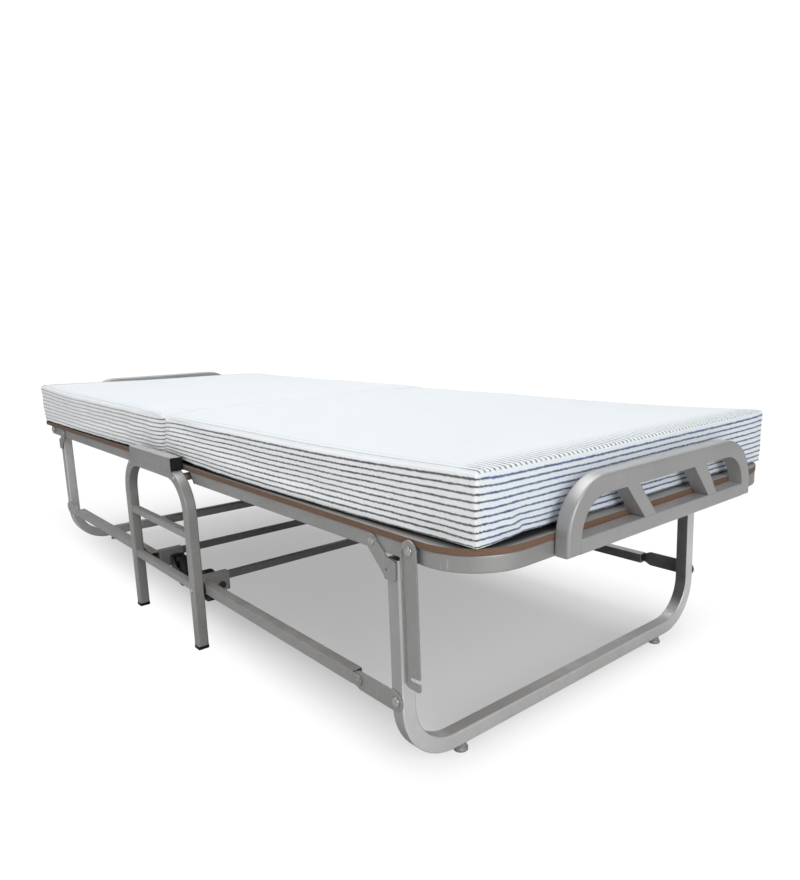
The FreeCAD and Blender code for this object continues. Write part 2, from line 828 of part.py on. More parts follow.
def leg_hinge_plates():
    """A plate from the leg pivot down to the leg, with a pad that meets the leg tube."""
    pivot, z = dim.leg_pivot_x, dim.pivot_z
    near, far = dim.leg_x - leg_half, dim.leg_x + leg_half
    boss_r, pad_overlap = 12.0, 0.5
    dimple_r, dimple_depth = 2.0, 2.0
    strut = prism("leg_plate_strut", "XZ_Plane", dim.plate_in, dim.plate_thick, [
        (pivot - 10.5, z - 8.0),
        (near - 2.5, z - 41),
        (near + 1, z - 48),
        (far - 4, z - 48),
        (far - 1, z - 44),
        (far - 1, z - 20),
        (dim.leg_x - 4, z - 17),
        (pivot + 13, z + 2),
    ])
    blank = fuse([
        strut,
        cylinder("y", pivot, -plate_outer_y, z, boss_r, dim.plate_thick),
        box(
            (near + 1, far - 2), (-dim.plate_in - pad_overlap, -dim.leg_outer), (z - 46, z - 22)
        ),
    ])
    hole = hole_across(pivot, -plate_outer_y, z, pin_hole_r, dim.plate_thick)
    dimple = cylinder(
        "y", near + 4.5, -plate_outer_y - OVERCUT, z - 34, dimple_r, dimple_depth + OVERCUT
    )
    return pair(cut(blank, [hole, dimple], "leg_plate"))


def leg_glides():
    base_height, stem_start = 4.0, 3.0
    x, y = dim.leg_x, -dim.glide_y
    stem_length = dim.leg_bar_z - leg_half - stem_start
    return pair(fuse([
        cylinder("z", x, y, 0, dim.glide_base_r, base_height),
        cylinder("z", x, y, stem_start, dim.glide_r, stem_length),
    ]))


def leg_link_rivets():
    return pair(
        rivet(
            dim.leg_x, dim.link_z, dim.leg_outer - dim.wall, end_plate_outer_y + FIT,
            inner_head_r=6.5, outer_head_r=8.0,
        )
    )


# ---------------------------------------------------------------- links
def link_rods():
    """Square tubes, each with a flat round-ended tongue at its outer end."""
    y, z, face = dim.rod_outer - rod_half, dim.link_z, -dim.rod_outer
    tongue_root, tongue_inset = 12, 1.4
    stud_r, stud_out, stud_length = 4.0, 1.2, 2.0
    tongue_half = rod_half - tongue_inset
    tube = straight_tube(
        "YZ_Plane", dim.rod_start, dim.rod_end - dim.rod_start, (-y, z),
        dim.rod_tube, dim.wall, "rod_tube",
    )
    tongue = fuse([
        box(
            (dim.rod_end - tongue_root, dim.tongue_x),
            (face, face + dim.tongue_thick),
            (z - tongue_half, z + tongue_half),
        ),
        cylinder("y", dim.tongue_x, face, z, tongue_half, dim.tongue_thick),
        cylinder("y", dim.tongue_x, face - stud_out, z, stud_r, stud_length),
    ])
    hole = hole_across(dim.stand_leg_x, face, z, pin_hole_r, dim.rod_tube)
    return pair(cut(fuse([tube, tongue]), [hole], "rod_whole"))


def link_end_plates():
    x, z, half, thick = dim.leg_x, dim.link_z, dim.end_plate_half, dim.end_plate_thick
    start = dim.rod_end + 1.5
    blank = prism("end_plate_blank", "XZ_Plane", dim.end_plate_in, thick, [
        (start, z - 9),
        (start + 14, z - half),
        (x + 2, z - half),
        (x + 12, z - 8),
        (x + 15, z),
        (x + 12, z + 8),
        (x + 2, z + half),
        (start + 14, z + half),
        (start, z + 9),
    ])
    # the corner edges through the plate's thickness
    fillet(blank, lambda b: b.YMax - b.YMin > 2, 4.0)
    hole = hole_across(x, -end_plate_outer_y, z, pin_hole_r, thick)
    return pair(cut(blank, [hole], "end_plate"))


def link_cross_bar():
    return tube_across(rod_inner_y, dim.link_bar_x, dim.link_z, dim.bar_size, dim.bar_wall)


def caster_brackets():
    """Upside-down channels over the cross bar, drilled for the caster stems."""
    near, far = bracket_near_x, bracket_far_x
    bar_near, bar_far = dim.link_bar_x - bar_half, dim.link_bar_x + bar_half
    bar_top, low = dim.link_z + bar_half, dim.caster_z - 13
    inner_y = dim.caster_y - 18
    top = bar_top + bracket_wall
    length = rod_inner_y - CLEAR - inner_y
    channel = prism("caster_bracket_channel", "XZ_Plane", inner_y, length, [
        (near, low),
        (bar_near, low),
        (bar_near, bar_top),
        (bar_far, bar_top),
        (bar_far, low),
        (far, low),
        (far, top),
        (near, top),
    ])
    # the two long top edges
    fillet(channel, lambda b: same(b.ZMin, top) and b.YMax - b.YMin > 20, 2.0)
    hole = cylinder("x", near - 2, -dim.caster_y, dim.caster_z, dim.stem_r + dim.turn_gap, 30)
    return pair(cut(channel, [hole], "bracket"))


# ---------------------------------------------------------------- casters
wheel_z = dim.caster_z - dim.trail


def caster_fork():
    """The swivel stem along X, a crown plate, and an arm on each side of the wheel."""
    face, y, z, x = bracket_near_x, -dim.caster_y, dim.caster_z, dim.wheel_x
    crown_half_width, crown_half_height, crown_thick = 15, 14, 3
    arm_offset, arm_thick = 12.5, 2.5
    arm_root_x = face - 12
    stem = fuse([
        cylinder("x", face - 3, y, z, dim.stem_r, 26.5),
        cylinder("x", bracket_far_x + CLEAR, y, z, 8.0, 3.0),
        cylinder("x", face - 6.5, y, z, 14.0, 6.2),
    ])
    arm = prism("fork_arm_blank", "XZ_Plane", dim.caster_y + arm_offset, arm_thick, [
        (face - 6, z - crown_half_height),
        (face - 6, z + crown_half_height),
        (arm_root_x, z + crown_half_height),
        (x + 5, wheel_z + 9),
        (x - 5, wheel_z + 8),
        (x - 9, wheel_z + 2),
        (x - 9, wheel_z - 3),
        (x - 4, wheel_z - 9),
        (x + 3, wheel_z - 9),
    ])
    # the corner edges through the arm's thickness, round the axle
    wheel_end = value(arm_root_x) - 1
    fillet(arm, lambda b: b.YMax - b.YMin > 2 and b.XMax < wheel_end, 3.0)
    crown = box(
        (face - 9, face - 9 + crown_thick),
        (y - crown_half_width, y + crown_half_width),
        (z - crown_half_height, z + crown_half_height),
    )
    blank = fuse([stem, crown, arm, mirror(arm, "y", at=y)], "fork_blank")
    return cut(blank, [cylinder("y", x, y - 20, wheel_z, dim.axle_r, 40)])


def caster_wheel():
    """Half a section of the wheel, turned about the axle."""
    x, y = dim.wheel_x, -dim.caster_y
    near, far = y - dim.wheel_width / 2, y + dim.wheel_width / 2
    bore, tread = x + dim.axle_r + dim.turn_gap, x + dim.wheel_r
    hub, web_start, web_end, rim = x + 9, x + 11, x + 24, x + 26
    hub_inset, web_inset, tread_round = 0.5, 4, 3.0
    body = new_body("wheel_blank")
    sketch = new_sketch(body, "XY_Plane", wheel_z)
    draw(sketch, [
        (bore, near + hub_inset),
        (hub, near + hub_inset),
        (web_start, near + web_inset),
        (web_end, near + web_inset),
        (rim, near),
        (tread - tread_round, near),
        (tread, near + tread_round, tread_round, LEFT),
        (tread, far - tread_round),
        (tread - tread_round, far, tread_round, LEFT),
        (rim, far),
        (web_end, far - web_inset),
        (web_start, far - web_inset),
        (hub, far - hub_inset),
        (bore, far - hub_inset),
    ])
    # construction line along the axle, which becomes the sketch's Axis0
    ends = (-400, -300)
    points = [FreeCAD.Vector(value(x), end, 0) for end in ends]
    axis = sketch.addGeometry(Part.LineSegment(*points), True)
    for point, end in enumerate(ends, 1):
        fix(sketch, axis, point, x, end)
    feature = body.newObject("PartDesign::Revolution", fresh("Revolution"))
    feature.Profile = sketch
    feature.ReferenceAxis = (sketch, ["Axis0"])
    feature.Angle = 360
    body.Tip = feature
    return body


def caster_axle():
    x, y = dim.wheel_x, -dim.caster_y
    half_length, head_r, head_height = 16, 5.5, 2.3
    return fuse([
        cylinder("y", x, y - half_length, wheel_z, dim.axle_r, 2 * half_length),
        cylinder("y", x, y - 17.5, wheel_z, head_r, head_height),
        cylinder("y", x, y + 15.2, wheel_z, head_r, head_height),
    ])


# ---------------------------------------------------------------- latch strap
def latch_strap():
    """A hanging strap with a notch in its +X edge and a lip along its -X edge."""
    x, z, half, low = dim.strap_x, dim.strap_z, dim.strap_half, dim.strap_low
    near_round, far_round = 6, 4
    lip_width, lip_out, lip_overlap = 2, 2.5, 0.5
    near, far, face = x - half, x + half, -strap_outer_y
    plate = prism("latch_strap_plate", "XZ_Plane", dim.strap_in, dim.strap_thick, [
        (near, low + near_round),
        (near + near_round, low, near_round, LEFT),
        (far - far_round, low),
        (far, low + far_round, far_round, LEFT),
        (far, low + 12),
        (x - 4, low + 10),
        (x - 7, low + 12),
        (x - 7, low + 15),
        (x - 4, low + 17),
        (far, low + 19),
        (far, z),
        (x, z + half, half, LEFT),
        (near, z, half, LEFT),
    ])
    lip = box(
        (near, near + lip_width), (face - lip_out, face + lip_overlap), (low + near_round, z)
    )
    return cut(fuse([plate, lip]), [hole_across(x, face, z, pin_hole_r, dim.strap_thick)])


def strap_pin(x):
    """A rivet with a collar between the deck rail and the strap's plane."""
    collar_r, collar_outer_y = 6.5, dim.strap_in - FIT
    pin = rivet(
        x, dim.strap_z, dim.rail_outer - dim.wall, strap_outer_y + FIT,
        inner_head_r=4.6, outer_head_r=7.0,
    )
    length = collar_outer_y - dim.rail_outer
    return fuse([pin, cylinder("y", x, -collar_outer_y, dim.strap_z, collar_r, length)])


# ---------------------------------------------------------------- the bed's pieces
NODES = {}


def node(name, obj):
    obj.Label = name
    NODES[name] = obj


def both_halves(name, part):
    """The foot half's piece, and its mirror image on the head half."""
    node("foot_" + name, part)
    node("head_" + name, mirror(part, "x"))


node("stand_arch_front", stand_arch("stand_arch_front", -1))
node("stand_arch_back", stand_arch("stand_arch_back", 1))
node("stand_rungs", stand_rungs())
node("stand_cross_tube", stand_cross_tube())
node("guard_channels", guard_channels())
node("guard_end_caps", guard_end_caps())
node("stand_foot_caps", stand_foot_caps())
node("deck_pivot_rivets", deck_pivot_rivets())
node("deck_pivot_sleeves", deck_pivot_sleeves())
node("link_pivot_rivets", link_pivot_rivets())
node("link_pivot_washers", link_pivot_washers())

both_halves("deck_frame", deck_frame())
both_halves("rail_plugs", rail_plugs())
node("foot_deck_board", deck_board("foot_deck_board_solid", dim.foot_corner))
node("head_deck_board", mirror(deck_board("head_deck_board_solid", dim.head_corner), "x"))
both_halves("deck_cross_members", deck_cross_members())
both_halves("deck_hinge_arms", deck_hinge_arms())
node("foot_end_rail_frame", end_rail_frame("foot_end_rail_solid", dim.foot_shoulder))
node(
    "head_end_rail_frame",
    mirror(end_rail_frame("head_end_rail_solid", dim.head_shoulder), "x"),
)
both_halves("end_rail_bar", end_rail_bar())
both_halves("leg_pivot_rivets", leg_pivot_rivets())
both_halves("mattress_half", mattress_half())

both_halves("leg_tube", leg_tube())
both_halves("leg_hinge_plates", leg_hinge_plates())
both_halves("leg_glides", leg_glides())
both_halves("leg_link_rivets", leg_link_rivets())
both_halves("link_rods", link_rods())
both_halves("link_end_plates", link_end_plates())
both_halves("link_cross_bar", link_cross_bar())
both_halves("caster_brackets", caster_brackets())

for name, foot_part in (
    ("fork", caster_fork()),
    ("wheel", caster_wheel()),
    ("axle", caster_axle()),
):
    head_part = mirror(foot_part, "x")
    node("foot_front_caster_" + name, foot_part)
    node("head_front_caster_" + name, head_part)
    node("foot_back_caster_" + name, mirror(foot_part, "y"))
    node("head_back_caster_" + name, mirror(head_part, "y"))

node("latch_strap", latch_strap())
node("latch_strap_rivet", strap_pin(dim.strap_x))
node("latch_catch_stud", strap_pin(-dim.strap_x))

# ---------------------------------------------------------------- checks and export
doc.recompute()
bad = []
for obj in doc.Objects:
    if "Invalid" in obj.State or "Error" in obj.State:
        bad.append("%s (%s) %s" % (obj.Name, obj.Label, obj.State))
for name, obj in NODES.items():
    shape = obj.Shape
    if shape.isNull() or not shape.isValid() or not shape.Solids:
        bad.append("node %s: null or not valid" % name)
if bad:
    raise RuntimeError("failed objects:\n" + "\n".join(bad))
os.makedirs("parts", exist_ok=True)
for name, obj in NODES.items():
    obj.Shape.exportStep("parts/%s.step" % name)
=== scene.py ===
"""A folding bed, standing open on its frame with the two mattress halves laid flat.

X runs from the head (-) to the foot (+) with the fold at x = 0, the front side faces -Y,
and the floor is z = 0. The frame comes from the CAD pieces; this script gives them their
materials and adds the mattress covers, the weld beads, the floor, the lights and the camera.
"""
import math
import re

import bmesh
import bpy
import numpy as np
from mathutils import Matrix, Vector


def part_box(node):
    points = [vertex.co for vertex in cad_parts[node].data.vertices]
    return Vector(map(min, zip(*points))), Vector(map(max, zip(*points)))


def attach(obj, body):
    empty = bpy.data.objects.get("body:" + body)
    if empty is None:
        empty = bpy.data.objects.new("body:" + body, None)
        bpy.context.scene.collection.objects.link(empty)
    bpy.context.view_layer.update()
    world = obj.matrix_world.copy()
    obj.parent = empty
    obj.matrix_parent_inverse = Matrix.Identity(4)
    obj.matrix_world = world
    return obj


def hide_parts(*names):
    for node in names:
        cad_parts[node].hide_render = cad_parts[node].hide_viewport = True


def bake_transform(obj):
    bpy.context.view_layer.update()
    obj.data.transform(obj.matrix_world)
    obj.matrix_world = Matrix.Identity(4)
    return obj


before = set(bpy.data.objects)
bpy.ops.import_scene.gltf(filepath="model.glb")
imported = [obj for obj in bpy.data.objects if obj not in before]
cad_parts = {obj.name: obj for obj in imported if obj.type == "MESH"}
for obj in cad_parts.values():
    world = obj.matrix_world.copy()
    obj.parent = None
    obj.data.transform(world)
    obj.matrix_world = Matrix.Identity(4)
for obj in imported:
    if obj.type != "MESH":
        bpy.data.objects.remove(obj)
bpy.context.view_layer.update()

scene = bpy.context.scene
scene.view_settings.view_transform = "Standard"
scene.view_settings.look = "None"
scene.view_settings.exposure = 0.0
scene.view_settings.gamma = 1.0

# the mattress lies askew: y shifts by SKEW_SLOPE for each metre of x below SKEW_ORIGIN
SKEW_ORIGIN = 0.957
SKEW_SLOPE = 0.0089

# woven stripes of the mattress cover
STRIPE_PITCH = 0.00965  # from one stripe to the next
TOP_STRIPE = 0.4660  # height of the top stripe on the border
STRIPE_STEP = 0.0034  # length of one step along a stripe
TOP_PANEL, SIDE_PANEL, END_PANEL = 0.0, 1.0, 2.0


# ------------------------------------------------------------------ shader helpers
class NodeMaterial:
    """A node material with a Principled shader, built by short calls.

    A grain is (scale, detail, roughness) of a noise, the last two optional.
    A span is the (from, to) range of a smooth step, and to= is what it maps to.
    """

    def __init__(self, name):
        self.material = bpy.data.materials.new(name)
        self.material.use_nodes = True
        self.tree = self.material.node_tree
        self.tree.nodes.clear()
        self.output = self.node("OutputMaterial")
        self.shader = self.node("BsdfPrincipled")
        self.put(self.output.inputs[0], self.shader.outputs[0])

    def put(self, socket, value):
        """Link a socket to the input, or set the input's value."""
        if isinstance(value, bpy.types.NodeSocket):
            self.tree.links.new(value, socket)
        elif socket.type == "RGBA":
            socket.default_value = (*value, 1.0)
        else:
            socket.default_value = value

    def node(self, kind, inputs=None, **settings):
        node = self.tree.nodes.new("ShaderNode" + kind)
        for key, value in settings.items():
            setattr(node, key, value)
        for key, value in (inputs or {}).items():
            self.put(node.inputs[key], value)
        return node

    def surface(self, inputs):
        """Fill in the Principled shader and give back the material."""
        for key, value in inputs.items():
            self.put(self.shader.inputs[key], value)
        return self.material

    def coord(self, kind="Object"):
        return self.node("TexCoord").outputs[kind]

    def attribute(self, name):
        return self.node("Attribute", attribute_name=name).outputs["Vector"]

    def split(self, vector):
        return self.node("SeparateXYZ", {0: vector}).outputs

    def join(self, x, y, z):
        return self.node("CombineXYZ", {0: x, 1: y, 2: z}).outputs[0]

    def scale(self, vector, factors):
        return self.node("VectorMath", {0: vector, 1: factors}, operation="MULTIPLY").outputs[0]

    def math(self, operation, a, b=0.0, clamp=False):
        return self.node("Math", {0: a, 1: b}, operation=operation, use_clamp=clamp).outputs[0]

    def times(self, a, b, clamp=False):
        return self.math("MULTIPLY", a, b, clamp)

    def plus(self, a, b):
        return self.math("ADD", a, b)

    def minus(self, a, b):
        return self.math("SUBTRACT", a, b)

    def size(self, a):
        return self.math("ABSOLUTE", a)

    def step(self, value, span, to=(0.0, 1.0)):
        inputs = {0: value, 1: span[0], 2: span[1], 3: to[0], 4: to[1]}
        return self.node("MapRange", inputs, interpolation_type="SMOOTHSTEP").outputs[0]

    def noise(self, where, scale, detail=2.0, rough=0.5):
        inputs = {"Vector": where, "Scale": scale, "Detail": detail, "Roughness": rough}
        return self.node("TexNoise", inputs).outputs[0]

    def patches(self, where, grain, span=(0.3, 0.7), to=(0.0, 1.0)):
        """Noise pushed through a smooth step."""
        return self.step(self.noise(where, *grain), span, to)

    def random(self, x, y, z):
        inputs = {"Vector": self.join(x, y, z)}
        return self.node("TexWhiteNoise", inputs, noise_dimensions="3D").outputs[0]

    def cells(self, where, scale):
        return self.node("TexVoronoi", {"Vector": where, "Scale": scale}).outputs[0]

    def mix(self, factor, a, b):
        inputs = {0: factor, 6: a, 7: b}
        return self.node("Mix", inputs, data_type="RGBA", clamp_factor=True).outputs[2]

    def mix_value(self, factor, a, b):
        inputs = {0: factor, 2: a, 3: b}
        return self.node("Mix", inputs, data_type="FLOAT", clamp_factor=True).outputs[0]

    def bevel(self, radius, samples=4):
        return self.node("Bevel", {"Radius": radius}, samples=samples).outputs[0]

    def bump(self, height, distance, strength, normal=None):
        inputs = {"Strength": strength, "Distance": distance, "Height": height}
        if normal is not None:
            inputs["Normal"] = normal
        return self.node("Bump", inputs).outputs[0]

    def edge(self, bevelled):
        """0 on a flat, more on an edge: how far the bevelled normal leans from the face's own."""
        normal = self.node("NewGeometry").outputs["True Normal"]
        dot = self.node("VectorMath", {0: bevelled, 1: normal}, operation="DOT_PRODUCT")
        return self.math("SUBTRACT", 1.0, dot.outputs["Value"], clamp=True)


def tint(colour, factor, limit=1.0):
    return tuple(min(limit, channel * factor) for channel in colour)


# ------------------------------------------------------------------ materials
def painted_steel(name, light, dark, metal=0.45, wear=0.5, side_shade=1.0):
    """Powder coat: orange peel, faint mottling, scuffs along the tubes, thin bright edges, with
    painted light and painted shade by facing.

    wear is how much the edges show; the last argument darkens the faces that look along y, as
    painted side shade.
    """
    mat = NodeMaterial(name)
    place = mat.coord()
    base = mat.mix(mat.patches(place, (5.0, 3.0, 0.55), span=(0.32, 0.68)), dark, light)
    fleck = mat.patches(place, (1100.0, 1.0), span=(0.35, 0.75), to=(0.0, 0.22))
    base = mat.mix(fleck, base, tint(light, 1.5))
    flat_place = mat.scale(place, (9.0, 9.0, 60.0))
    smear = mat.patches(flat_place, (3.0, 4.0, 0.7), span=(0.62, 0.8), to=(0.0, 0.18))
    base = mat.mix(smear, base, tint(dark, 0.72))

    bevel = mat.bevel(radius=0.0011)
    broken = mat.patches(place, (130.0, 3.0, 0.6), span=(0.35, 0.65))
    rim = mat.times(mat.step(mat.edge(bevel), span=(0.02, 0.22)), broken)
    base = mat.mix(mat.times(rim, wear), base, (0.66, 0.655, 0.645))

    long_place = mat.scale(place, (240.0, 240.0, 17.0))
    scratch = mat.patches(long_place, (1.6, 2.0, 0.6), span=(0.665, 0.70))
    scratch = mat.times(scratch, mat.patches(place, (9.0, 1.0), span=(0.5, 0.62)))
    base = mat.mix(mat.times(scratch, 0.35), base, (0.7, 0.69, 0.68))

    # dust close to the floor
    low = mat.step(mat.split(place)[2], span=(0.14, 0.0))
    dust = mat.times(low, mat.patches(place, (38.0, 4.0, 0.7), span=(0.42, 0.75)))
    base = mat.mix(mat.times(dust, 0.14), base, (0.27, 0.262, 0.25))

    _, normal_y, normal_z = mat.split(mat.coord("Normal"))
    # painted side shade: the faces that look along y are darkened
    if side_shade < 1.0:
        painted_side_shade = mat.step(mat.size(normal_y), span=(0.62, 0.93), to=(0.0, 0.92))
        base = mat.mix(painted_side_shade, base, tint(dark, side_shade))
    # painted shade: the faces along the back side that look to the front are darkened nearly to
    # black
    at_back = mat.step(mat.split(place)[1], span=(0.24, 0.32))
    painted_back_shade = mat.times(at_back, mat.step(normal_y, span=(-0.6, -0.95)))
    cloud = mat.patches(place, (16.0, 4.0, 0.65), to=(0.62, 0.80))
    base = mat.mix(mat.times(painted_back_shade, cloud), base, (0.045, 0.045, 0.046))
    # painted light: the faces that look up are painted paler
    up = mat.step(normal_z, span=(0.7, 0.96))
    cloud = mat.patches(place, (24.0, 4.0, 0.65), span=(0.25, 0.7), to=(0.45, 0.75))
    base = mat.mix(mat.times(up, cloud), base, tint(light, 2.1, limit=0.66))

    peel = mat.noise(place, 420.0, 2.0, 0.5)
    return mat.surface({
        "Base Color": base,
        "Metallic": metal,
        "Roughness": mat.patches(place, (60.0, 3.0, 0.6), to=(0.36, 0.50)),
        "Coat Weight": 0.12,
        "Coat Roughness": 0.3,
        "Normal": mat.bump(peel, distance=0.00022, strength=0.55, normal=bevel),
    })


def moulded_silver():
    """The end rails: smoother silver moulding with soft edges and a fine satin grain."""
    mat = NodeMaterial("end_rail_silver")
    place = mat.coord()
    cloud = mat.patches(place, (7.0, 3.0, 0.5))
    base = mat.mix(cloud, (0.325, 0.322, 0.318), (0.375, 0.371, 0.367))
    fleck = mat.patches(place, (1500.0, 1.0), span=(0.4, 0.75), to=(0.0, 0.2))
    base = mat.mix(fleck, base, (0.62, 0.615, 0.61))

    bevel = mat.bevel(radius=0.0022, samples=6)
    rim = mat.step(mat.edge(bevel), span=(0.03, 0.25))
    rim = mat.times(rim, mat.patches(place, (90.0, 3.0)))
    base = mat.mix(mat.times(rim, 0.35), base, (0.62, 0.62, 0.61))

    long_place = mat.scale(place, (30.0, 300.0, 30.0))
    rub = mat.patches(long_place, (1.2, 2.0, 0.6), span=(0.66, 0.7))
    rub = mat.times(rub, mat.patches(place, (11.0, 1.0), span=(0.52, 0.62)))
    base = mat.mix(mat.times(rub, 0.22), base, (0.72, 0.72, 0.71))

    # painted light: the faces that look up are painted paler
    up = mat.step(mat.split(mat.coord("Normal"))[2], span=(0.55, 0.95))
    cloud = mat.patches(place, (18.0, 4.0, 0.65), span=(0.25, 0.7), to=(0.4, 0.7))
    base = mat.mix(mat.times(up, cloud), base, (0.60, 0.597, 0.59))
    satin = mat.noise(place, 700.0, 2.0)
    return mat.surface({
        "Base Color": base,
        "Metallic": 0.4,
        "Roughness": mat.patches(place, (45.0, 3.0), to=(0.33, 0.45)),
        "Coat Weight": 0.15,
        "Coat Roughness": 0.28,
        "Normal": mat.bump(satin, distance=0.00012, strength=0.5, normal=bevel),
    })


def bright_zinc():
    mat = NodeMaterial("bright_zinc")
    place = mat.coord()
    cloud = mat.patches(place, (240.0, 3.0, 0.6))
    base = mat.mix(cloud, (0.36, 0.36, 0.355), (0.50, 0.495, 0.485))
    spangle = mat.step(mat.cells(place, 420.0), span=(0.0, 0.35), to=(0.25, 0.0))
    base = mat.mix(spangle, base, (0.36, 0.36, 0.37))
    bevel = mat.bevel(radius=0.0006)
    grit = mat.noise(place, 900.0, 2.0)
    return mat.surface({
        "Base Color": base,
        "Metallic": 0.9,
        "Roughness": mat.patches(place, (500.0, 2.0), to=(0.24, 0.42)),
        "Normal": mat.bump(grit, distance=0.00012, strength=0.5, normal=bevel),
    })


def black_plastic():
    mat = NodeMaterial("black_plastic")
    place = mat.coord()
    cloud = mat.patches(place, (55.0, 4.0, 0.6), span=(0.35, 0.7))
    base = mat.mix(cloud, (0.005, 0.005, 0.0055), (0.012, 0.012, 0.0125))
    bevel = mat.bevel(radius=0.0008)
    # painted highlight: the edges are lightened
    rim = mat.step(mat.edge(bevel), span=(0.02, 0.25))
    base = mat.mix(mat.times(rim, 0.35), base, (0.07, 0.07, 0.072))
    grit = mat.noise(place, 1600.0, 2.0, 0.6)
    return mat.surface({
        "Base Color": base,
        "Roughness": mat.patches(place, (160.0, 3.0), to=(0.44, 0.62)),
        "Specular IOR Level": 0.22,
        "Normal": mat.bump(grit, distance=0.00025, strength=0.6, normal=bevel),
    })


def deck_board():
    """Hardboard: pale painted top, bare brown fibre on the cut edge, rougher brown underside."""
    mat = NodeMaterial("deck_board")
    place = mat.coord()
    normal_z = mat.split(mat.coord("Normal"))[2]
    x, y, _ = mat.split(place)
    faces_up, faces_down = (0.75, 0.92), (-0.75, -0.92)  # spans of the normal's z

    fibre = mat.noise(mat.scale(place, (1.0, 1.0, 9.0)), 240.0, 4.0, 0.65)
    blot = mat.noise(place, 16.0, 4.0, 0.6)
    edge = mat.mix(mat.step(fibre, (0.3, 0.7)), (0.122, 0.068, 0.041), (0.198, 0.115, 0.071))
    edge = mat.mix(mat.step(blot, (0.35, 0.7), to=(0.0, 0.35)), edge, (0.12, 0.062, 0.04))
    top = mat.mix(mat.step(blot, (0.3, 0.7)), (0.30, 0.305, 0.29), (0.37, 0.37, 0.355))
    speck = mat.patches(place, (700.0, 2.0), span=(0.5, 0.8), to=(0.0, 0.3))
    top = mat.mix(speck, top, (0.22, 0.21, 0.19))

    # the underside has the print of a mesh screen, 2600 radians to the metre
    wave_x, wave_y = (mat.math("SINE", mat.times(axis, 2600.0)) for axis in (x, y))
    screen = mat.times(wave_x, wave_y)
    under = mat.mix(mat.step(fibre, (0.3, 0.7)), (0.16, 0.085, 0.052), (0.24, 0.14, 0.09))
    under = mat.mix(mat.step(screen, (0.0, 0.9), to=(0.0, 0.3)), under, (0.10, 0.055, 0.035))

    # painted shadow: a dark patch is painted on the board under the mattress, askew like it;
    # behind y = -0.14 it stops 0.04 shorter at both ends
    across_x = mat.size(x)
    skew = mat.times(mat.minus(SKEW_ORIGIN, x), SKEW_SLOPE)
    across_y = mat.size(mat.plus(y, skew))
    across_x = mat.plus(across_x, mat.step(y, (-0.24, -0.14), to=(0.0, 0.040)))
    painted_board_shadow = mat.times(mat.step(across_x, (0.970, 0.953)), mat.step(across_y, (0.3945, 0.374)))
    painted_board_shadow_colour = mat.mix(fibre, (0.012, 0.012, 0.012), (0.03, 0.029, 0.028))
    top = mat.mix(mat.times(painted_board_shadow, 0.96), top, painted_board_shadow_colour)

    colour = mat.mix(mat.step(normal_z, faces_up), edge, top)
    colour = mat.mix(mat.step(normal_z, faces_down), colour, under)
    relief = mat.times(mat.times(screen, 0.5), mat.step(normal_z, faces_down))
    relief = mat.plus(mat.noise(place, 420.0, 3.0), relief)
    bevel = mat.bevel(radius=0.0006)
    return mat.surface({
        "Base Color": colour,
        "Roughness": mat.mix_value(mat.step(normal_z, faces_up), 0.78, 0.5),
        "Normal": mat.bump(relief, distance=0.00025, strength=0.6, normal=bevel),
    })


def caster_wheel():
    """Hard grey hub in a dark moulded tread, told apart by the distance from the axle."""
    mat = NodeMaterial("caster_wheel")
    across, _, up = mat.split(mat.coord("Generated"))
    across, up = mat.minus(across, 0.5), mat.minus(up, 0.5)
    radius = mat.math("SQRT", mat.plus(mat.times(across, across), mat.times(up, up)))
    rim_of_hub = (0.30, 0.315)  # as a share of the wheel's diameter
    place = mat.coord()
    cloud = mat.noise(place, 140.0, 4.0, 0.6)
    tread = mat.mix(mat.step(cloud, (0.3, 0.7)), (0.008, 0.008, 0.0085), (0.020, 0.0195, 0.019))
    scuff = mat.patches(place, (420.0, 3.0), span=(0.45, 0.7))
    scuff = mat.times(mat.step(radius, (0.44, 0.49)), scuff)
    tread = mat.mix(mat.times(scuff, 0.5), tread, (0.085, 0.082, 0.078))
    hub = mat.mix(mat.step(cloud, (0.3, 0.7)), (0.020, 0.020, 0.021), (0.042, 0.042, 0.044))
    bevel = mat.bevel(radius=0.0008)
    grit = mat.noise(place, 900.0, 2.0)
    return mat.surface({
        "Base Color": mat.mix(mat.step(radius, rim_of_hub), hub, tread),
        "Roughness": mat.mix_value(mat.step(radius, rim_of_hub), 0.48, 0.66),
        "Specular IOR Level": 0.25,
        "Normal": mat.bump(grit, distance=0.0002, strength=0.6, normal=bevel),
    })


def stripe_mask(mat, along, across, panel):
    """The woven stripes, their row number and a random value for each step of a stripe."""
    row = mat.math("DIVIDE", mat.minus(across, TOP_STRIPE), STRIPE_PITCH)
    row_id = mat.math("ROUND", row)
    cell = mat.math("DIVIDE", along, STRIPE_STEP)
    cell_id = mat.math("FLOOR", cell)
    part = mat.minus(cell, cell_id)
    chance = mat.random(cell_id, row_id, panel)
    # a stripe slants within each step, jumps between steps and wanders slowly
    slant = mat.times(mat.minus(part, 0.5), 0.0013)
    shift = mat.plus(slant, mat.times(mat.minus(chance, 0.5), 0.0007))
    slow = mat.noise(mat.join(along, row_id, 0.0), 22.0, 2.0)
    slow = mat.times(mat.minus(slow, 0.5), 0.0011)
    offset = mat.times(mat.minus(row, row_id), STRIPE_PITCH)
    offset = mat.size(mat.plus(mat.plus(offset, shift), slow))
    half = mat.mix_value(mat.random(cell_id, panel, row_id), 0.00100, 0.00172)
    line = mat.step(offset, (mat.plus(half, 0.0004), mat.minus(half, 0.0004)))
    gap = mat.step(mat.size(mat.minus(part, 0.5)), (0.36, 0.5), to=(0.0, 0.45))
    line = mat.times(line, mat.minus(1.0, gap))
    faint = mat.patches(mat.join(along, across, panel), (9.0, 2.0), to=(0.93, 1.0))
    return mat.times(line, faint), row_id, chance


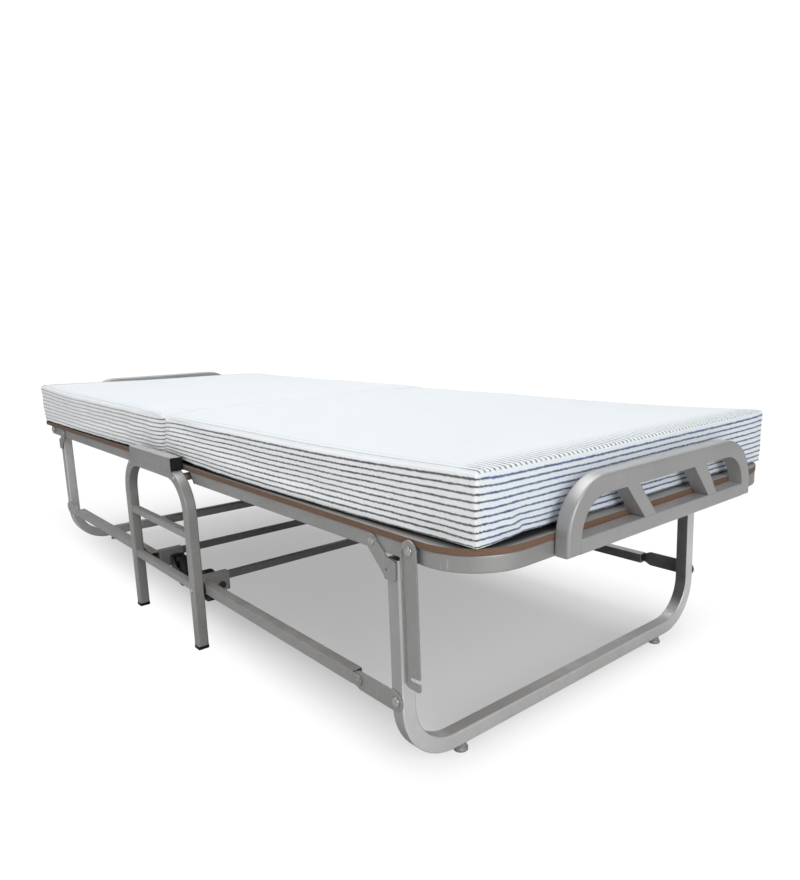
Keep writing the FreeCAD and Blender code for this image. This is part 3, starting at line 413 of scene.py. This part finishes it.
def mattress_ticking():
    """White woven ticking; "tick" is (along, across, panel), "rest" the unshaped position."""
    mat = NodeMaterial("mattress_ticking")
    along, across, panel = mat.split(mat.attribute("tick"))
    x, y, z = mat.split(mat.attribute("rest"))
    above_top = mat.math("GREATER_THAN", panel, 0.5)
    side = mat.times(above_top, mat.math("LESS_THAN", panel, 1.5))
    end = mat.math("GREATER_THAN", panel, 1.5)
    border = mat.math("GREATER_THAN", panel, 0.5)
    flat = mat.minus(1.0, border)
    line, row_id, chance = stripe_mask(mat, along, across, panel)

    # the border has ten rows between its seams
    rows = mat.times(
        mat.math("GREATER_THAN", row_id, -9.5),
        mat.math("LESS_THAN", row_id, 0.5),
    )
    on_border = mat.times(mat.times(line, border), rows)
    # on the top panel the stripes fade inwards from the edges
    from_fold, from_middle = mat.size(x), mat.size(y)
    near_end = mat.math("POWER", mat.step(from_fold, (0.886, 0.946)), 1.3)
    near_side = mat.step(from_middle, (0.345, 0.374))
    veil = mat.math("MAXIMUM", mat.times(near_end, 0.93), mat.times(near_side, 0.40))
    veil = mat.math("MAXIMUM", veil, 0.055)
    is_top = mat.math("GREATER_THAN", z, 0.42)
    on_top = mat.times(mat.times(line, flat), mat.mix_value(is_top, 0.6, veil))

    # slate ink, navy on the ends; paler along the sides towards the head
    far = mat.step(x, (-1.0, 0.35), to=(0.58, 1.0))
    slate = mat.mix(mat.step(chance, (0.2, 0.9)), (0.004, 0.006, 0.010), (0.018, 0.022, 0.030))
    navy = mat.mix(mat.step(chance, (0.2, 0.9)), (0.001, 0.026, 0.140), (0.010, 0.066, 0.265))
    ink = mat.mix(mat.times(end, mat.step(from_middle, (0.370, 0.352))), slate, navy)
    salt = mat.noise(mat.join(along, across, panel), 620.0, 3.0, 0.7)
    # painted shade: the top and end panels get a darker, bluer white than the long sides, to offset
    # their stronger light
    cool = mat.mix(mat.step(salt, (0.3, 0.7)), (0.735, 0.775, 0.800), (0.795, 0.835, 0.860))
    plain = mat.mix(mat.step(salt, (0.3, 0.7)), (0.86, 0.875, 0.88), (0.95, 0.955, 0.96))
    knit = mat.cells(mat.scale(mat.join(along, across, panel), (1.0, 1.5, 1.0)), 430.0)
    plain = mat.mix(mat.step(knit, (0.25, 0.75), to=(0.0, 0.20)), plain, (0.68, 0.71, 0.735))
    cloth = mat.mix(side, cool, plain)
    cloud = mat.patches(mat.join(x, y, z), (6.0, 3.0), span=(0.4, 0.7), to=(0.0, 0.14))
    cloth = mat.mix(cloud, cloth, (0.70, 0.74, 0.78))
    strength = mat.mix_value(side, 1.0, far)
    shade = mat.times(mat.plus(on_border, on_top), strength, clamp=True)
    colour = mat.mix(shade, cloth, ink)
    # painted shade: the underside is coloured nearly black, standing in for the shade under the
    # mattress
    painted_underside_shade = mat.mix(salt, (0.016, 0.017, 0.018), (0.032, 0.033, 0.035))
    colour = mat.mix(mat.times(flat, mat.minus(1.0, is_top)), colour, painted_underside_shade)

    # plain weave, 0.9 mm from thread to thread, with each stripe standing a little proud
    warp, weft = (mat.math("SINE", mat.times(axis, 7000.0)) for axis in (along, across))
    weave = mat.plus(mat.times(warp, weft), mat.times(salt, 1.2))
    relief = mat.plus(mat.times(weave, 0.25), mat.times(shade, 0.6))
    return mat.surface({
        "Base Color": colour,
        "Roughness": 0.88,
        "Sheen Weight": 0.25,
        "Sheen Roughness": 0.5,
        "Specular IOR Level": 0.25,
        "Normal": mat.bump(relief, distance=0.00035, strength=0.5),
    })


PAINT = painted_steel(
    "frame_powder_coat", light=(0.315, 0.311, 0.306), dark=(0.265, 0.262, 0.257)
)
# painted shade: a darker copy of the frame paint for the cross members under the bed
SHADED_UNDER_PAINT = painted_steel(
    "under_frame_painted_shade", light=(0.185, 0.183, 0.18), dark=(0.145, 0.143, 0.14)
)
FORK_PAINT = painted_steel(
    "fork_black_coat", light=(0.030, 0.030, 0.031), dark=(0.018, 0.018, 0.019),
    metal=0.1, wear=0.15,
)
# painted light: a much paler copy of the frame paint for the leg tubes, with painted side shade
LIT_LEG_PAINT = painted_steel(
    "leg_painted_light_coat", light=(0.70, 0.696, 0.69), dark=(0.61, 0.606, 0.60), side_shade=0.56
)
RAIL = moulded_silver()
ZINC = bright_zinc()
BLACK = black_plastic()
BOARD = deck_board()
WHEEL = caster_wheel()
TICKING = mattress_ticking()

# pattern in the piece's name, material; the first match counts
PIECE_MATERIALS = (
    ("mattress", TICKING),
    ("deck_board", BOARD),
    ("end_rail", RAIL),
    ("caps|plugs|washers", BLACK),
    ("_wheel$", WHEEL),
    ("rivet|sleeve|axle|stud", ZINC),
    ("_fork$", FORK_PAINT),
    ("glides", RAIL),
    ("cross", SHADED_UNDER_PAINT),
    ("_leg_tube$", LIT_LEG_PAINT),
    ("", PAINT),
)


def dress_pieces():
    for name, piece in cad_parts.items():
        material = next(mat for pattern, mat in PIECE_MATERIALS if re.search(pattern, name))
        if not piece.data.materials:
            piece.data.materials.append(material)
        for slot in piece.material_slots:
            slot.link = "OBJECT"
            slot.material = material


dress_pieces()


# ------------------------------------------------------------------ the mattress
CLOTH_FRAMES = 20
CLOTH_SETTINGS = {
    "quality": 5,
    "mass": 0.35,
    "tension_stiffness": 22.0,
    "compression_stiffness": 22.0,
    "shear_stiffness": 8.0,
    "bending_stiffness": 1.2,
    "use_pressure": True,
    "uniform_pressure_force": 4.0,
    "vertex_group_mass": "held",
}
# how far the lower edge spreads sideways: distance from the fold, millimetres
FOOT_SPREAD = (
    (0, 5), (0.10, 6.5), (0.17, 8.0), (0.24, 10.5), (0.40, 12.5), (0.55, 11),
    (0.65, 9.5), (0.73, 7.5), (0.81, 4.5), (0.89, 0), (0.96, 0),
)
HEAD_SPREAD = (
    (0, 4), (0.15, 4.5), (0.30, 5.0), (0.60, 5.0), (0.75, 3.5), (0.90, 1.5), (0.96, 0.5),
)


def grid_lines(low, high, fine, coarse, band):
    """Lines from low to high: close together within band of each end, coarser between."""
    fine_count = max(2, round(band / fine))
    coarse_count = max(1, round((high - low - 2 * band) / coarse))
    first = np.linspace(low, low + band, fine_count + 1)
    middle = np.linspace(low + band, high - band, coarse_count + 1)
    last = np.linspace(high - band, high, fine_count + 1)
    return np.concatenate([first, middle[1:-1], last])


def box_grid(xs, ys, zs):
    """A box surface of quads with shared vertices; each face keeps the side it belongs to."""
    ids, verts, faces, sides = {}, [], [], []
    nx, ny, nz = len(xs) - 1, len(ys) - 1, len(zs) - 1

    def add(side, *corners):
        for corner in corners:
            if corner not in ids:
                ids[corner] = len(verts)
                i, j, k = corner
                verts.append((xs[i], ys[j], zs[k]))
        faces.append(tuple(ids[corner] for corner in corners))
        sides.append(side)

    for i in range(nx):
        for j in range(ny):
            add("top", (i, j, nz), (i + 1, j, nz), (i + 1, j + 1, nz), (i, j + 1, nz))
            add("bottom", (i, j + 1, 0), (i + 1, j + 1, 0), (i + 1, j, 0), (i, j, 0))
    for i in range(nx):
        for k in range(nz):
            add("front", (i, 0, k), (i + 1, 0, k), (i + 1, 0, k + 1), (i, 0, k + 1))
            add("back", (i, ny, k + 1), (i + 1, ny, k + 1), (i + 1, ny, k), (i, ny, k))
    for j in range(ny):
        for k in range(nz):
            add("end", (nx, j, k), (nx, j + 1, k), (nx, j + 1, k + 1), (nx, j, k + 1))
            add("fold", (0, j, k + 1), (0, j + 1, k + 1), (0, j + 1, k), (0, j, k))
    return np.array(verts), faces, sides


def wobble(points, scale, seed):
    """Smooth repeatable noise about -1 to 1, as a sum of plane waves."""
    terms = 7
    rng = np.random.RandomState(seed)
    total = np.zeros(len(points))
    for _ in range(terms):
        way = rng.normal(size=3)
        way /= np.linalg.norm(way)
        pace = 2 * math.pi / scale * rng.uniform(0.6, 1.6)
        total += np.sin(points @ way * pace + rng.uniform(0, 6.28))
    return total / math.sqrt(terms) / 1.1


def smooth(t):
    t = np.clip(t, 0, 1)
    return t * t * (3 - 2 * t)


def decay(distance, length):
    return np.exp(-distance / length)


def bell(offset, width):
    return np.exp(-((offset / width) ** 2))


class MattressHalf:
    """One half, shaped with x running from the fold to its outer end.

    The head half is mirrored at the end. rest holds the points of the plain box,
    points the shaped ones.
    """

    def __init__(self, end):
        self.end = end
        self.foot = end == "foot"
        low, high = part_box(end + "_mattress_half")
        self.length = max(abs(low.x), abs(high.x)) - (0.0050 if self.foot else 0.0006)
        self.half_width = high.y - 0.0008
        self.bottom = low.z + 0.0004
        self.top = high.z - 0.0022
        self.rest, self.faces, self.sides = box_grid(
            grid_lines(0.0002, self.length, fine=0.0024, coarse=0.0125, band=0.0144),
            grid_lines(-self.half_width, self.half_width, fine=0.0026, coarse=0.0125, band=0.0156),
            grid_lines(self.bottom, self.top, fine=0.0030, coarse=0.0062, band=0.0120),
        )
        x, y, z = self.rest.T.copy()
        self.xyz = x, y, z
        self.from_end = self.length - x
        self.from_side = self.half_width - np.abs(y)
        self.height = np.clip((z - self.bottom) / (self.top - self.bottom), 0, 1)
        self.on_side = smooth((np.abs(y) - (self.half_width - 0.02)) / 0.02)
        self.on_end = smooth((x - (self.length - 0.02)) / 0.02)
        self.under = np.clip(1 - (z - self.bottom) / 0.034, 0, 1) ** 1.5

    def wobble(self, scale, seed, points=None):
        return wobble(self.rest if points is None else points, scale, seed + self.foot)

    def round_edges(self):
        """Small at the fold crease, fuller round the top, tucked under at the bottom."""
        x, _, z = self.xyz
        upper = z > (self.bottom + self.top) / 2
        at_side = decay(self.from_side, 0.050)
        top_z = np.where(x < 0.02, 0.0010 + 0.0038 * at_side, 0.0110)
        radius = np.stack([
            np.where(x < self.length / 2, 0.0008 + 0.0026 * at_side, 0.0060),
            np.where(upper, 0.0085, 0.0042),
            np.where(upper, top_z, 0.0042),
        ], 1)
        low = np.array([0.0002, -self.half_width, self.bottom])
        high = np.array([self.length, self.half_width, self.top])
        core = np.clip(self.rest, low + radius, high - radius)
        offset = (self.rest - core) / radius
        size = np.linalg.norm(offset, axis=1)[:, None]
        rounded = core + radius * offset / np.maximum(size, 1e-9)
        self.points = np.where(size > 1e-9, rounded, self.rest)

    def make_object(self):
        name = self.end + "_mattress"
        self.mesh = bpy.data.meshes.new(name)
        self.mesh.from_pydata([tuple(point) for point in self.points], [], self.faces)
        self.mesh.update()
        self.obj = bpy.data.objects.new(name, self.mesh)
        scene.collection.objects.link(self.obj)

    def run_cloth(self):
        """A short cloth run with pressure, held flat on the board and at the fold."""
        x, _, z = self.xyz
        group = self.obj.vertex_groups.new(name="held")
        held = (z < self.bottom + 0.001) | (x < 0.004)
        group.add(np.nonzero(held)[0].tolist(), 1.0, "REPLACE")
        cloth = self.obj.modifiers.new("Cloth", "CLOTH")
        for key, value in CLOTH_SETTINGS.items():
            setattr(cloth.settings, key, value)
        cloth.settings.effector_weights.gravity = 0.0
        cloth.collision_settings.use_collision = False
        cloth.point_cache.frame_start = 1
        cloth.point_cache.frame_end = CLOTH_FRAMES
        scene.frame_start, scene.frame_end = 1, CLOTH_FRAMES
        for number in range(1, CLOTH_FRAMES + 1):
            scene.frame_set(number)
        evaluated = self.obj.evaluated_get(bpy.context.evaluated_depsgraph_get())
        result = np.zeros(len(self.points) * 3, np.float32)
        evaluated.data.vertices.foreach_get("co", result)
        move = result.reshape(-1, 3).astype(float) - self.points
        self.obj.modifiers.remove(cloth)
        scene.frame_set(1)
        return move

    def push_out(self):
        """The foam pushes the cover out, up to a soft limit that is smaller near the fold."""
        x, _, z = self.xyz
        move = self.run_cloth()
        size = np.linalg.norm(move, axis=1)
        on_top = z > self.top - 0.0005
        limit = np.where(on_top, 0.0030 * smooth(x / 0.30), 0.0026 * smooth(x / 0.035))
        limit = np.maximum(limit, 1e-6)
        move *= (np.tanh(size / limit) * limit / np.maximum(size, 1e-9))[:, None]
        move[:, 2] = np.where(z < self.bottom + 0.001, 0.0, move[:, 2])
        self.points = self.points + move

    def sag_top(self):
        """The top edge sags between the corners and the middle, so the corners stand up."""
        x, y, _ = self.xyz
        near_side = decay(self.from_side, 0.070)
        off_corner = 1 - np.exp(-((np.clip(self.from_end, 0, None) / 0.20) ** 1.5))
        dip = 0.0098 * near_side * off_corner
        dip += 0.0030 * decay(self.from_end, 0.06) * (1 - decay(self.from_side, 0.10))
        dip += (0.0042 * near_side + 0.0003) * np.exp(-((x / 0.030) ** 1.2))
        if not self.foot:
            dip *= 0.62
            dip += 0.0035 * decay(self.from_end, 0.020) * decay(self.from_side, 0.03)
            # the outer end rises, most at the front
            dip -= 0.0150 * decay(self.from_end, 0.30) * (0.5 - 0.5 * y / self.half_width)
        rise = smooth(self.height)
        flat_points = self.rest * np.array([1, 1, 0.0])
        self.points[:, 2] -= dip * rise
        self.points[:, 2] += 0.0009 * rise * self.wobble(0.42, seed=11, points=flat_points)

    def shape_sides(self):
        """Slightly hollow between the corners, bulging with the foam, pinched at the fold."""
        x, y, _ = self.xyz
        bulge = np.sin(self.height * math.pi)
        hollow = 0.0012 * (1 - decay(self.from_end, 0.10)) * (1 - decay(x, 0.12))
        pinch = 0.0046 * bell(x, 0.008) + 0.0012 * decay(x, 0.030)
        sway = 0.0010 * self.wobble(0.13, seed=21) + 0.0005 * self.wobble(0.045, seed=31)
        self.points[:, 1] -= np.sign(y) * self.on_side * (hollow + pinch - bulge * sway * 1.3)
        end_hollow = 0.0020 * (1 - decay(self.from_side, 0.12))
        self.points[:, 0] -= self.on_end * (end_hollow - bulge * sway * 1.2)

    def lift_lower_edge(self):
        """The cover's lower edge lifts clear of the board, least at the corners."""
        x, y, _ = self.xyz
        fray = 0.0009 * self.wobble(0.030, seed=41) + 0.0006 * self.wobble(0.012, seed=43)
        along_end = 0.0036 * smooth((self.from_side - 0.018) / 0.10)
        along_end *= 1 - 0.72 * smooth((y + 0.20) / 0.12)
        along_end += 0.7 * fray
        along_end *= decay(np.clip(self.from_end - 0.004, 0, None), 0.028)
        at_fold = 0.0110 if self.foot else 0.0055
        along_side = at_fold * decay(x, 0.15) * smooth(self.from_end / 0.2)
        along_side += 0.0004 + 0.6 * fray
        along_side *= decay(np.clip(self.from_side - 0.004, 0, None), 0.028)
        lift = np.maximum(np.maximum(along_end, along_side), 0)
        self.points[:, 2] += self.under * lift

    def spread_lower_edge(self):
        """Low down the end is drawn in and the sides spread, most along the front."""
        x, y, _ = self.xyz
        lowness = 1 - self.height
        self.points[:, 0] -= lowness * self.on_end * 0.0050
        spread = np.interp(x, *zip(*(FOOT_SPREAD if self.foot else HEAD_SPREAD)))
        share = np.where(y < 0, -1.0, 0.35)
        self.points[:, 1] += share * self.on_side * spread * 0.001 * lowness

    def pucker_end(self):
        """A pucker low on the foot's end face where the cover is caught."""
        _, y, z = self.xyz
        size = depth = 0.0085
        up = z - (self.bottom + 0.019)
        across = y + 0.300 + 0.6 * up
        fold = bell(across, size) - 1.25 * bell(across - size * 1.5, size * 0.8)
        self.points[:, 0] += self.on_end * fold * bell(up, size * 1.7) * depth
        self.points[:, 2] += self.on_end * self.under * 0.002 * bell(y + 0.292, 0.010)

    def pucker_seams(self):
        """Nine small puckers along the lower seams of the sides."""
        x, y, z = self.xyz
        rng = np.random.RandomState(5 if self.foot else 6)
        for _ in range(9):
            centre_x = rng.uniform(0.1, 0.9)
            centre_z = self.bottom + rng.uniform(0.004, 0.02)
            size = rng.uniform(0.006, 0.014)
            side = -1 if rng.uniform() < 0.5 else 1
            dent = bell(x - centre_x, size) * bell(z - centre_z, size * 1.6)
            dent = dent * (np.sign(y) == side) * rng.uniform(-0.0012, 0.0010)
            self.points[:, 1] += side * self.on_side * dent

    def lean_and_mirror(self):
        """The head's front upper corner leans out; then the half is turned to its own side."""
        y = self.xyz[1]
        lean = self.height**1.2 * decay(np.clip(self.half_width + y, 0, None), 0.09)
        near_end = decay(np.clip(self.from_end, 0, None), 0.10)
        self.points[:, 0] += self.on_end * lean * 0.0055
        self.points[:, 1] -= self.on_side * lean * 0.0040 * near_end
        self.points[:, 0] *= -1
        self.rest[:, 0] *= -1

    def store_points(self):
        self.mesh.vertices.foreach_set("co", self.points.astype(np.float32).ravel())
        if not self.foot:
            self.mesh.flip_normals()
        self.mesh.update()

    def stripe_height(self, x, y, z):
        """Height in the weave: the stripes follow the cover at the fold and the corners."""
        from_end, from_side = self.length - abs(x), self.half_width - abs(y)
        if self.foot:
            z += 0.0016 * math.exp(-abs(x) / 0.05)
        else:
            z -= 0.0042 * math.exp(-abs(x) / 0.022) - 0.0022
        share = 1 if from_side < 0.02 else math.exp(-from_side / 0.03)
        return z - 0.0014 * math.exp(-from_end / 0.03) * share

    def add_fabric_coordinates(self):
        """Kept per face corner, so that each panel has its own."""
        mesh = self.mesh
        tick = np.zeros((len(mesh.loops), 3), np.float32)
        for polygon, side in zip(mesh.polygons, self.sides):
            for loop in polygon.loop_indices:
                x, y, z = self.rest[mesh.loops[loop].vertex_index]
                if side in ("top", "bottom"):
                    tick[loop] = (x, y + TOP_STRIPE, TOP_PANEL)
                elif side in ("front", "back"):
                    along = x + (0.4 if side == "back" else 0.0)
                    tick[loop] = (along, self.stripe_height(x, y, z), SIDE_PANEL)
                elif side == "end":
                    tick[loop] = (y, self.stripe_height(x, y, z), END_PANEL)
                else:
                    tick[loop] = (y, z, END_PANEL)
        corner = mesh.attributes.new("tick", "FLOAT_VECTOR", "CORNER")
        corner.data.foreach_set("vector", tick.ravel())
        point = mesh.attributes.new("rest", "FLOAT_VECTOR", "POINT")
        point.data.foreach_set("vector", self.rest.astype(np.float32).ravel())

    def subdivide(self):
        """Apply one level of subdivision and drop the coarse mesh."""
        obj = self.obj
        subdivision = obj.modifiers.new("Subdivision", "SUBSURF")
        subdivision.levels = subdivision.render_levels = 1
        subdivision.uv_smooth = "NONE"
        depsgraph = bpy.context.evaluated_depsgraph_get()
        fine = bpy.data.meshes.new_from_object(
            obj.evaluated_get(depsgraph), preserve_all_data_layers=True, depsgraph=depsgraph
        )
        obj.modifiers.clear()
        obj.vertex_groups.clear()
        obj.data = fine
        fine.name = obj.name
        bpy.data.meshes.remove(self.mesh)
        fine.polygons.foreach_set("use_smooth", [True] * len(fine.polygons))
        fine.materials.clear()
        fine.materials.append(TICKING)
        fine.update()


def build_mattress(end):
    half = MattressHalf(end)
    half.round_edges()
    half.make_object()
    half.push_out()
    half.sag_top()
    half.shape_sides()
    half.lift_lower_edge()
    half.spread_lower_edge()
    if half.foot:
        half.pucker_end()
    half.pucker_seams()
    if not half.foot:
        half.lean_and_mirror()
    half.points[:, 1] -= (SKEW_ORIGIN - half.points[:, 0]) * SKEW_SLOPE
    half.store_points()
    half.add_fabric_coordinates()
    half.subdivide()
    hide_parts(end + "_mattress_half")
    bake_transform(half.obj)


build_mattress("foot")
build_mattress("head")


# ------------------------------------------------------------------ weld beads
BEAD_RADIUS = 0.0013
BEAD_STEPS = 10  # rings along each side of the tube
BEAD_SEGMENTS = 6  # points round the bead
TUBE = 0.015  # side of the stand and link tubes
DECK_TUBE = 0.0212  # side of the deck's cross members


def add_bead(bm, centre, axis, side, seed):
    """A rippled closed bead round the end of a square tube that runs along axis."""
    rng = np.random.RandomState(seed)
    half = side / 2 + 0.0003
    rings = []
    for i in range(4 * BEAD_STEPS):
        quarter, place = divmod(i, BEAD_STEPS)
        cos, sin = math.cos(quarter * math.pi / 2), math.sin(quarter * math.pi / 2)
        along = (-1 + 2 * (place + 0.5) / BEAD_STEPS) * half * 0.98
        a, b = half * cos - along * sin, half * sin + along * cos
        radius = BEAD_RADIUS * (1 + 0.28 * math.sin(i * 2.1) + rng.uniform(-0.15, 0.15))
        ring = []
        for j in range(BEAD_SEGMENTS):
            angle = 2 * math.pi * j / BEAD_SEGMENTS
            stretch = 1 + radius * math.cos(angle) / math.hypot(a, b)
            p, q, depth = a * stretch, b * stretch, radius * math.sin(angle)
            offset = (depth, p, q) if axis == "x" else (p, depth, q)
            ring.append(bm.verts.new([c + d for c, d in zip(centre, offset)]))
        rings.append(ring)
    for this, after in zip(rings, rings[1:] + rings[:1]):
        for j in range(BEAD_SEGMENTS):
            k = (j + 1) % BEAD_SEGMENTS
            bm.faces.new((this[j], after[j], after[k], this[k]))


def weld_beads(body, beads):
    """One object of beads that rides on body; beads are (centre, axis, tube side)."""
    name = body + "_weld_beads"
    bm = bmesh.new()
    for i, (centre, axis, side) in enumerate(beads):
        add_bead(bm, centre, axis, side, seed=100 + i)
    bmesh.ops.recalc_face_normals(bm, faces=bm.faces)
    mesh = bpy.data.meshes.new(name)
    bm.to_mesh(mesh)
    bm.free()
    mesh.polygons.foreach_set("use_smooth", [True] * len(mesh.polygons))
    mesh.materials.append(PAINT)
    obj = bpy.data.objects.new(name, mesh)
    scene.collection.objects.link(obj)
    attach(obj, body)


def weld_stand():
    upper, lower = 0.2395, 0.131  # heights of the tubes
    beads = []
    for side in (-1, 1):
        for z in (upper, lower):
            beads += [((end * 0.1547, side * 0.407, z), "x", TUBE) for end in (-1, 1)]
        beads.append(((0.0, side * 0.3993, upper), "y", TUBE))
    weld_beads("stand", beads)


def weld_end(end, sign):
    low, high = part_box(end + "_link_cross_bar")
    middle = (low + high) / 2
    y = high.y - 0.0004
    beads = [((middle.x, side * y, middle.z), "y", TUBE) for side in (-1, 1)]
    weld_beads(end + "_link", beads)

    low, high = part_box(end + "_deck_cross_members")
    near = min(abs(low.x), abs(high.x)) + 0.012
    far = max(abs(low.x), abs(high.x)) - 0.012
    y, z = high.y - 0.0008, (low.z + high.z) / 2 - 0.0016
    beads = [((sign * x, side * y, z), "y", DECK_TUBE) for x in (near, far) for side in (-1, 1)]
    weld_beads(end + "_deck", beads)


weld_stand()
weld_end("foot", 1)
weld_end("head", -1)


# ------------------------------------------------------------------ floor
FLOOR_Z = -0.0003
FLOOR_RADII = (0.6, 1.2, 2.0, 3.5, 7.0, 15.0, 40.0)
FLOOR_SEGMENTS = 64


def floor_with_painted_shadow():
    """To the camera a painted shadow: a soft grey under the bed that fades to white just outside
    it.
    """
    mat = NodeMaterial("floor_with_painted_shadow")
    seen = mat.node("LightPath").outputs["Is Camera Ray"]
    cloud = mat.patches(mat.coord(), (0.6, 2.0))
    painted_floor_shadow_colour = mat.mix(cloud, (0.43, 0.432, 0.435), (0.45, 0.45, 0.45))
    x, y, _ = mat.split(mat.coord())
    # painted shade: to other rays the floor is darker under the bed
    under_x = mat.step(mat.size(x), (0.92, 0.74))
    painted_shade_under_bed = mat.times(under_x, mat.step(mat.size(y), (0.46, 0.32)))
    lit_colour = mat.mix(painted_shade_under_bed, (0.70, 0.70, 0.70), (0.30, 0.30, 0.30))
    # the floor glows a little to the camera only, lifting the painted shadow to its grey
    mat.surface({
        "Base Color": mat.mix(seen, lit_colour, painted_floor_shadow_colour),
        "Roughness": 0.9,
        "Specular IOR Level": 0.1,
        "Emission Color": (1.0, 1.0, 1.0),
        "Emission Strength": mat.times(seen, 0.35),
    })
    white = mat.node("Emission", {0: (1, 1, 1), 1: 1.02})
    # axis and span of the painted shadow's fade to white at the foot, front, back and head
    fades = ((x, (0.72, 0.89)), (y, (-0.25, -0.42)), (y, (0.22, 0.60)), (x, (-0.30, -1.65)))
    keep = 1.0
    for axis, span in fades:
        keep = mat.times(mat.minus(1.0, mat.step(axis, span)), keep)
    fade = mat.minus(1.0, keep)
    radius = mat.math("SQRT", mat.plus(mat.times(x, x), mat.times(y, y)))
    far = mat.step(radius, (1.9, 4.0))
    fade = mat.math("MAXIMUM", mat.times(fade, seen), mat.times(far, seen))
    blend = mat.node("MixShader", {0: fade, 1: mat.shader.outputs[0], 2: white.outputs[0]})
    mat.put(mat.output.inputs[0], blend.outputs[0])
    return mat.material


def build_floor():
    material = floor_with_painted_shadow()
    bm = bmesh.new()
    centre = bm.verts.new((0, 0, FLOOR_Z))
    last = None
    for radius in FLOOR_RADII:
        ring = []
        for i in range(FLOOR_SEGMENTS):
            angle = 2 * math.pi * i / FLOOR_SEGMENTS
            ring.append(bm.verts.new((radius * math.cos(angle), radius * math.sin(angle), FLOOR_Z)))
        for i in range(FLOOR_SEGMENTS):
            j = (i + 1) % FLOOR_SEGMENTS
            if last is None:
                bm.faces.new((centre, ring[i], ring[j]))
            else:
                bm.faces.new((last[i], ring[i], ring[j], last[j]))
        last = ring
    mesh = bpy.data.meshes.new("floor")
    bm.to_mesh(mesh)
    bm.free()
    mesh.materials.append(material)
    obj = bpy.data.objects.new("floor", mesh)
    scene.collection.objects.link(obj)


build_floor()


# ------------------------------------------------------------------ world, lights, camera
def build_world():
    """White to the camera, a dim cool light to everything else."""
    world = bpy.data.worlds.new("studio")
    scene.world = world
    world.use_nodes = True
    nodes, links = world.node_tree.nodes, world.node_tree.links
    nodes.clear()
    output = nodes.new("ShaderNodeOutputWorld")
    switch = nodes.new("ShaderNodeMixShader")
    path = nodes.new("ShaderNodeLightPath")
    links.new(path.outputs["Is Camera Ray"], switch.inputs[0])
    # switch input, colour, strength
    for slot, colour, strength in ((2, (1, 1, 1, 1), 1.05), (1, (0.97, 0.985, 1.0, 1), 0.36)):
        background = nodes.new("ShaderNodeBackground")
        background.inputs[0].default_value = colour
        background.inputs[1].default_value = strength
        links.new(background.outputs[0], switch.inputs[slot])
    links.new(switch.outputs[0], output.inputs[0])


def area_light(name, place, target, size, power):
    light = bpy.data.lights.new(name, "AREA")
    light.shape = "RECTANGLE"
    light.size, light.size_y = size
    light.energy = power
    light.color = (1, 1, 1)
    obj = bpy.data.objects.new(name, light)
    scene.collection.objects.link(obj)
    obj.location = place
    aim = Vector(target) - Vector(place)
    obj.rotation_euler = aim.to_track_quat("-Z", "Y").to_euler()


def build_camera():
    data = bpy.data.cameras.new("camera")
    camera = bpy.data.objects.new("camera", data)
    scene.collection.objects.link(camera)
    right = (0.66378, 0.74745, -0.02690)
    up = (-0.11933, 0.14135, 0.98274)
    backward = (0.73835, -0.64911, 0.18302)
    turn = Matrix((right, up, backward)).transposed().to_4x4()
    camera.matrix_world = Matrix.Translation((1.55946, -0.96138, 0.65478)) @ turn
    data.sensor_width = 36.0
    data.lens = 29.757
    data.shift_x = -0.04545
    data.shift_y = 0.01705
    data.clip_start = 0.01
    data.clip_end = 200.0
    scene.camera = camera


build_world()
# name, place, target, size, power
LIGHTS = (
    ("key_top", (-0.5, 0.0, 3.4), (-0.1, 0.0, 0.3), (3.8, 2.6), 84),
    ("side_right", (3.6, -1.0, 1.5), (0.6, 0.0, 0.25), (1.8, 2.2), 60),
    ("side_front", (0.4, -3.6, 1.4), (0.0, 0.0, 0.25), (3.0, 1.8), 17),
    ("side_back", (-2.6, 2.8, 1.6), (0.0, 0.0, 0.25), (2.4, 1.8), 10),
)
for light_row in LIGHTS:
    area_light(*light_row)
build_camera()
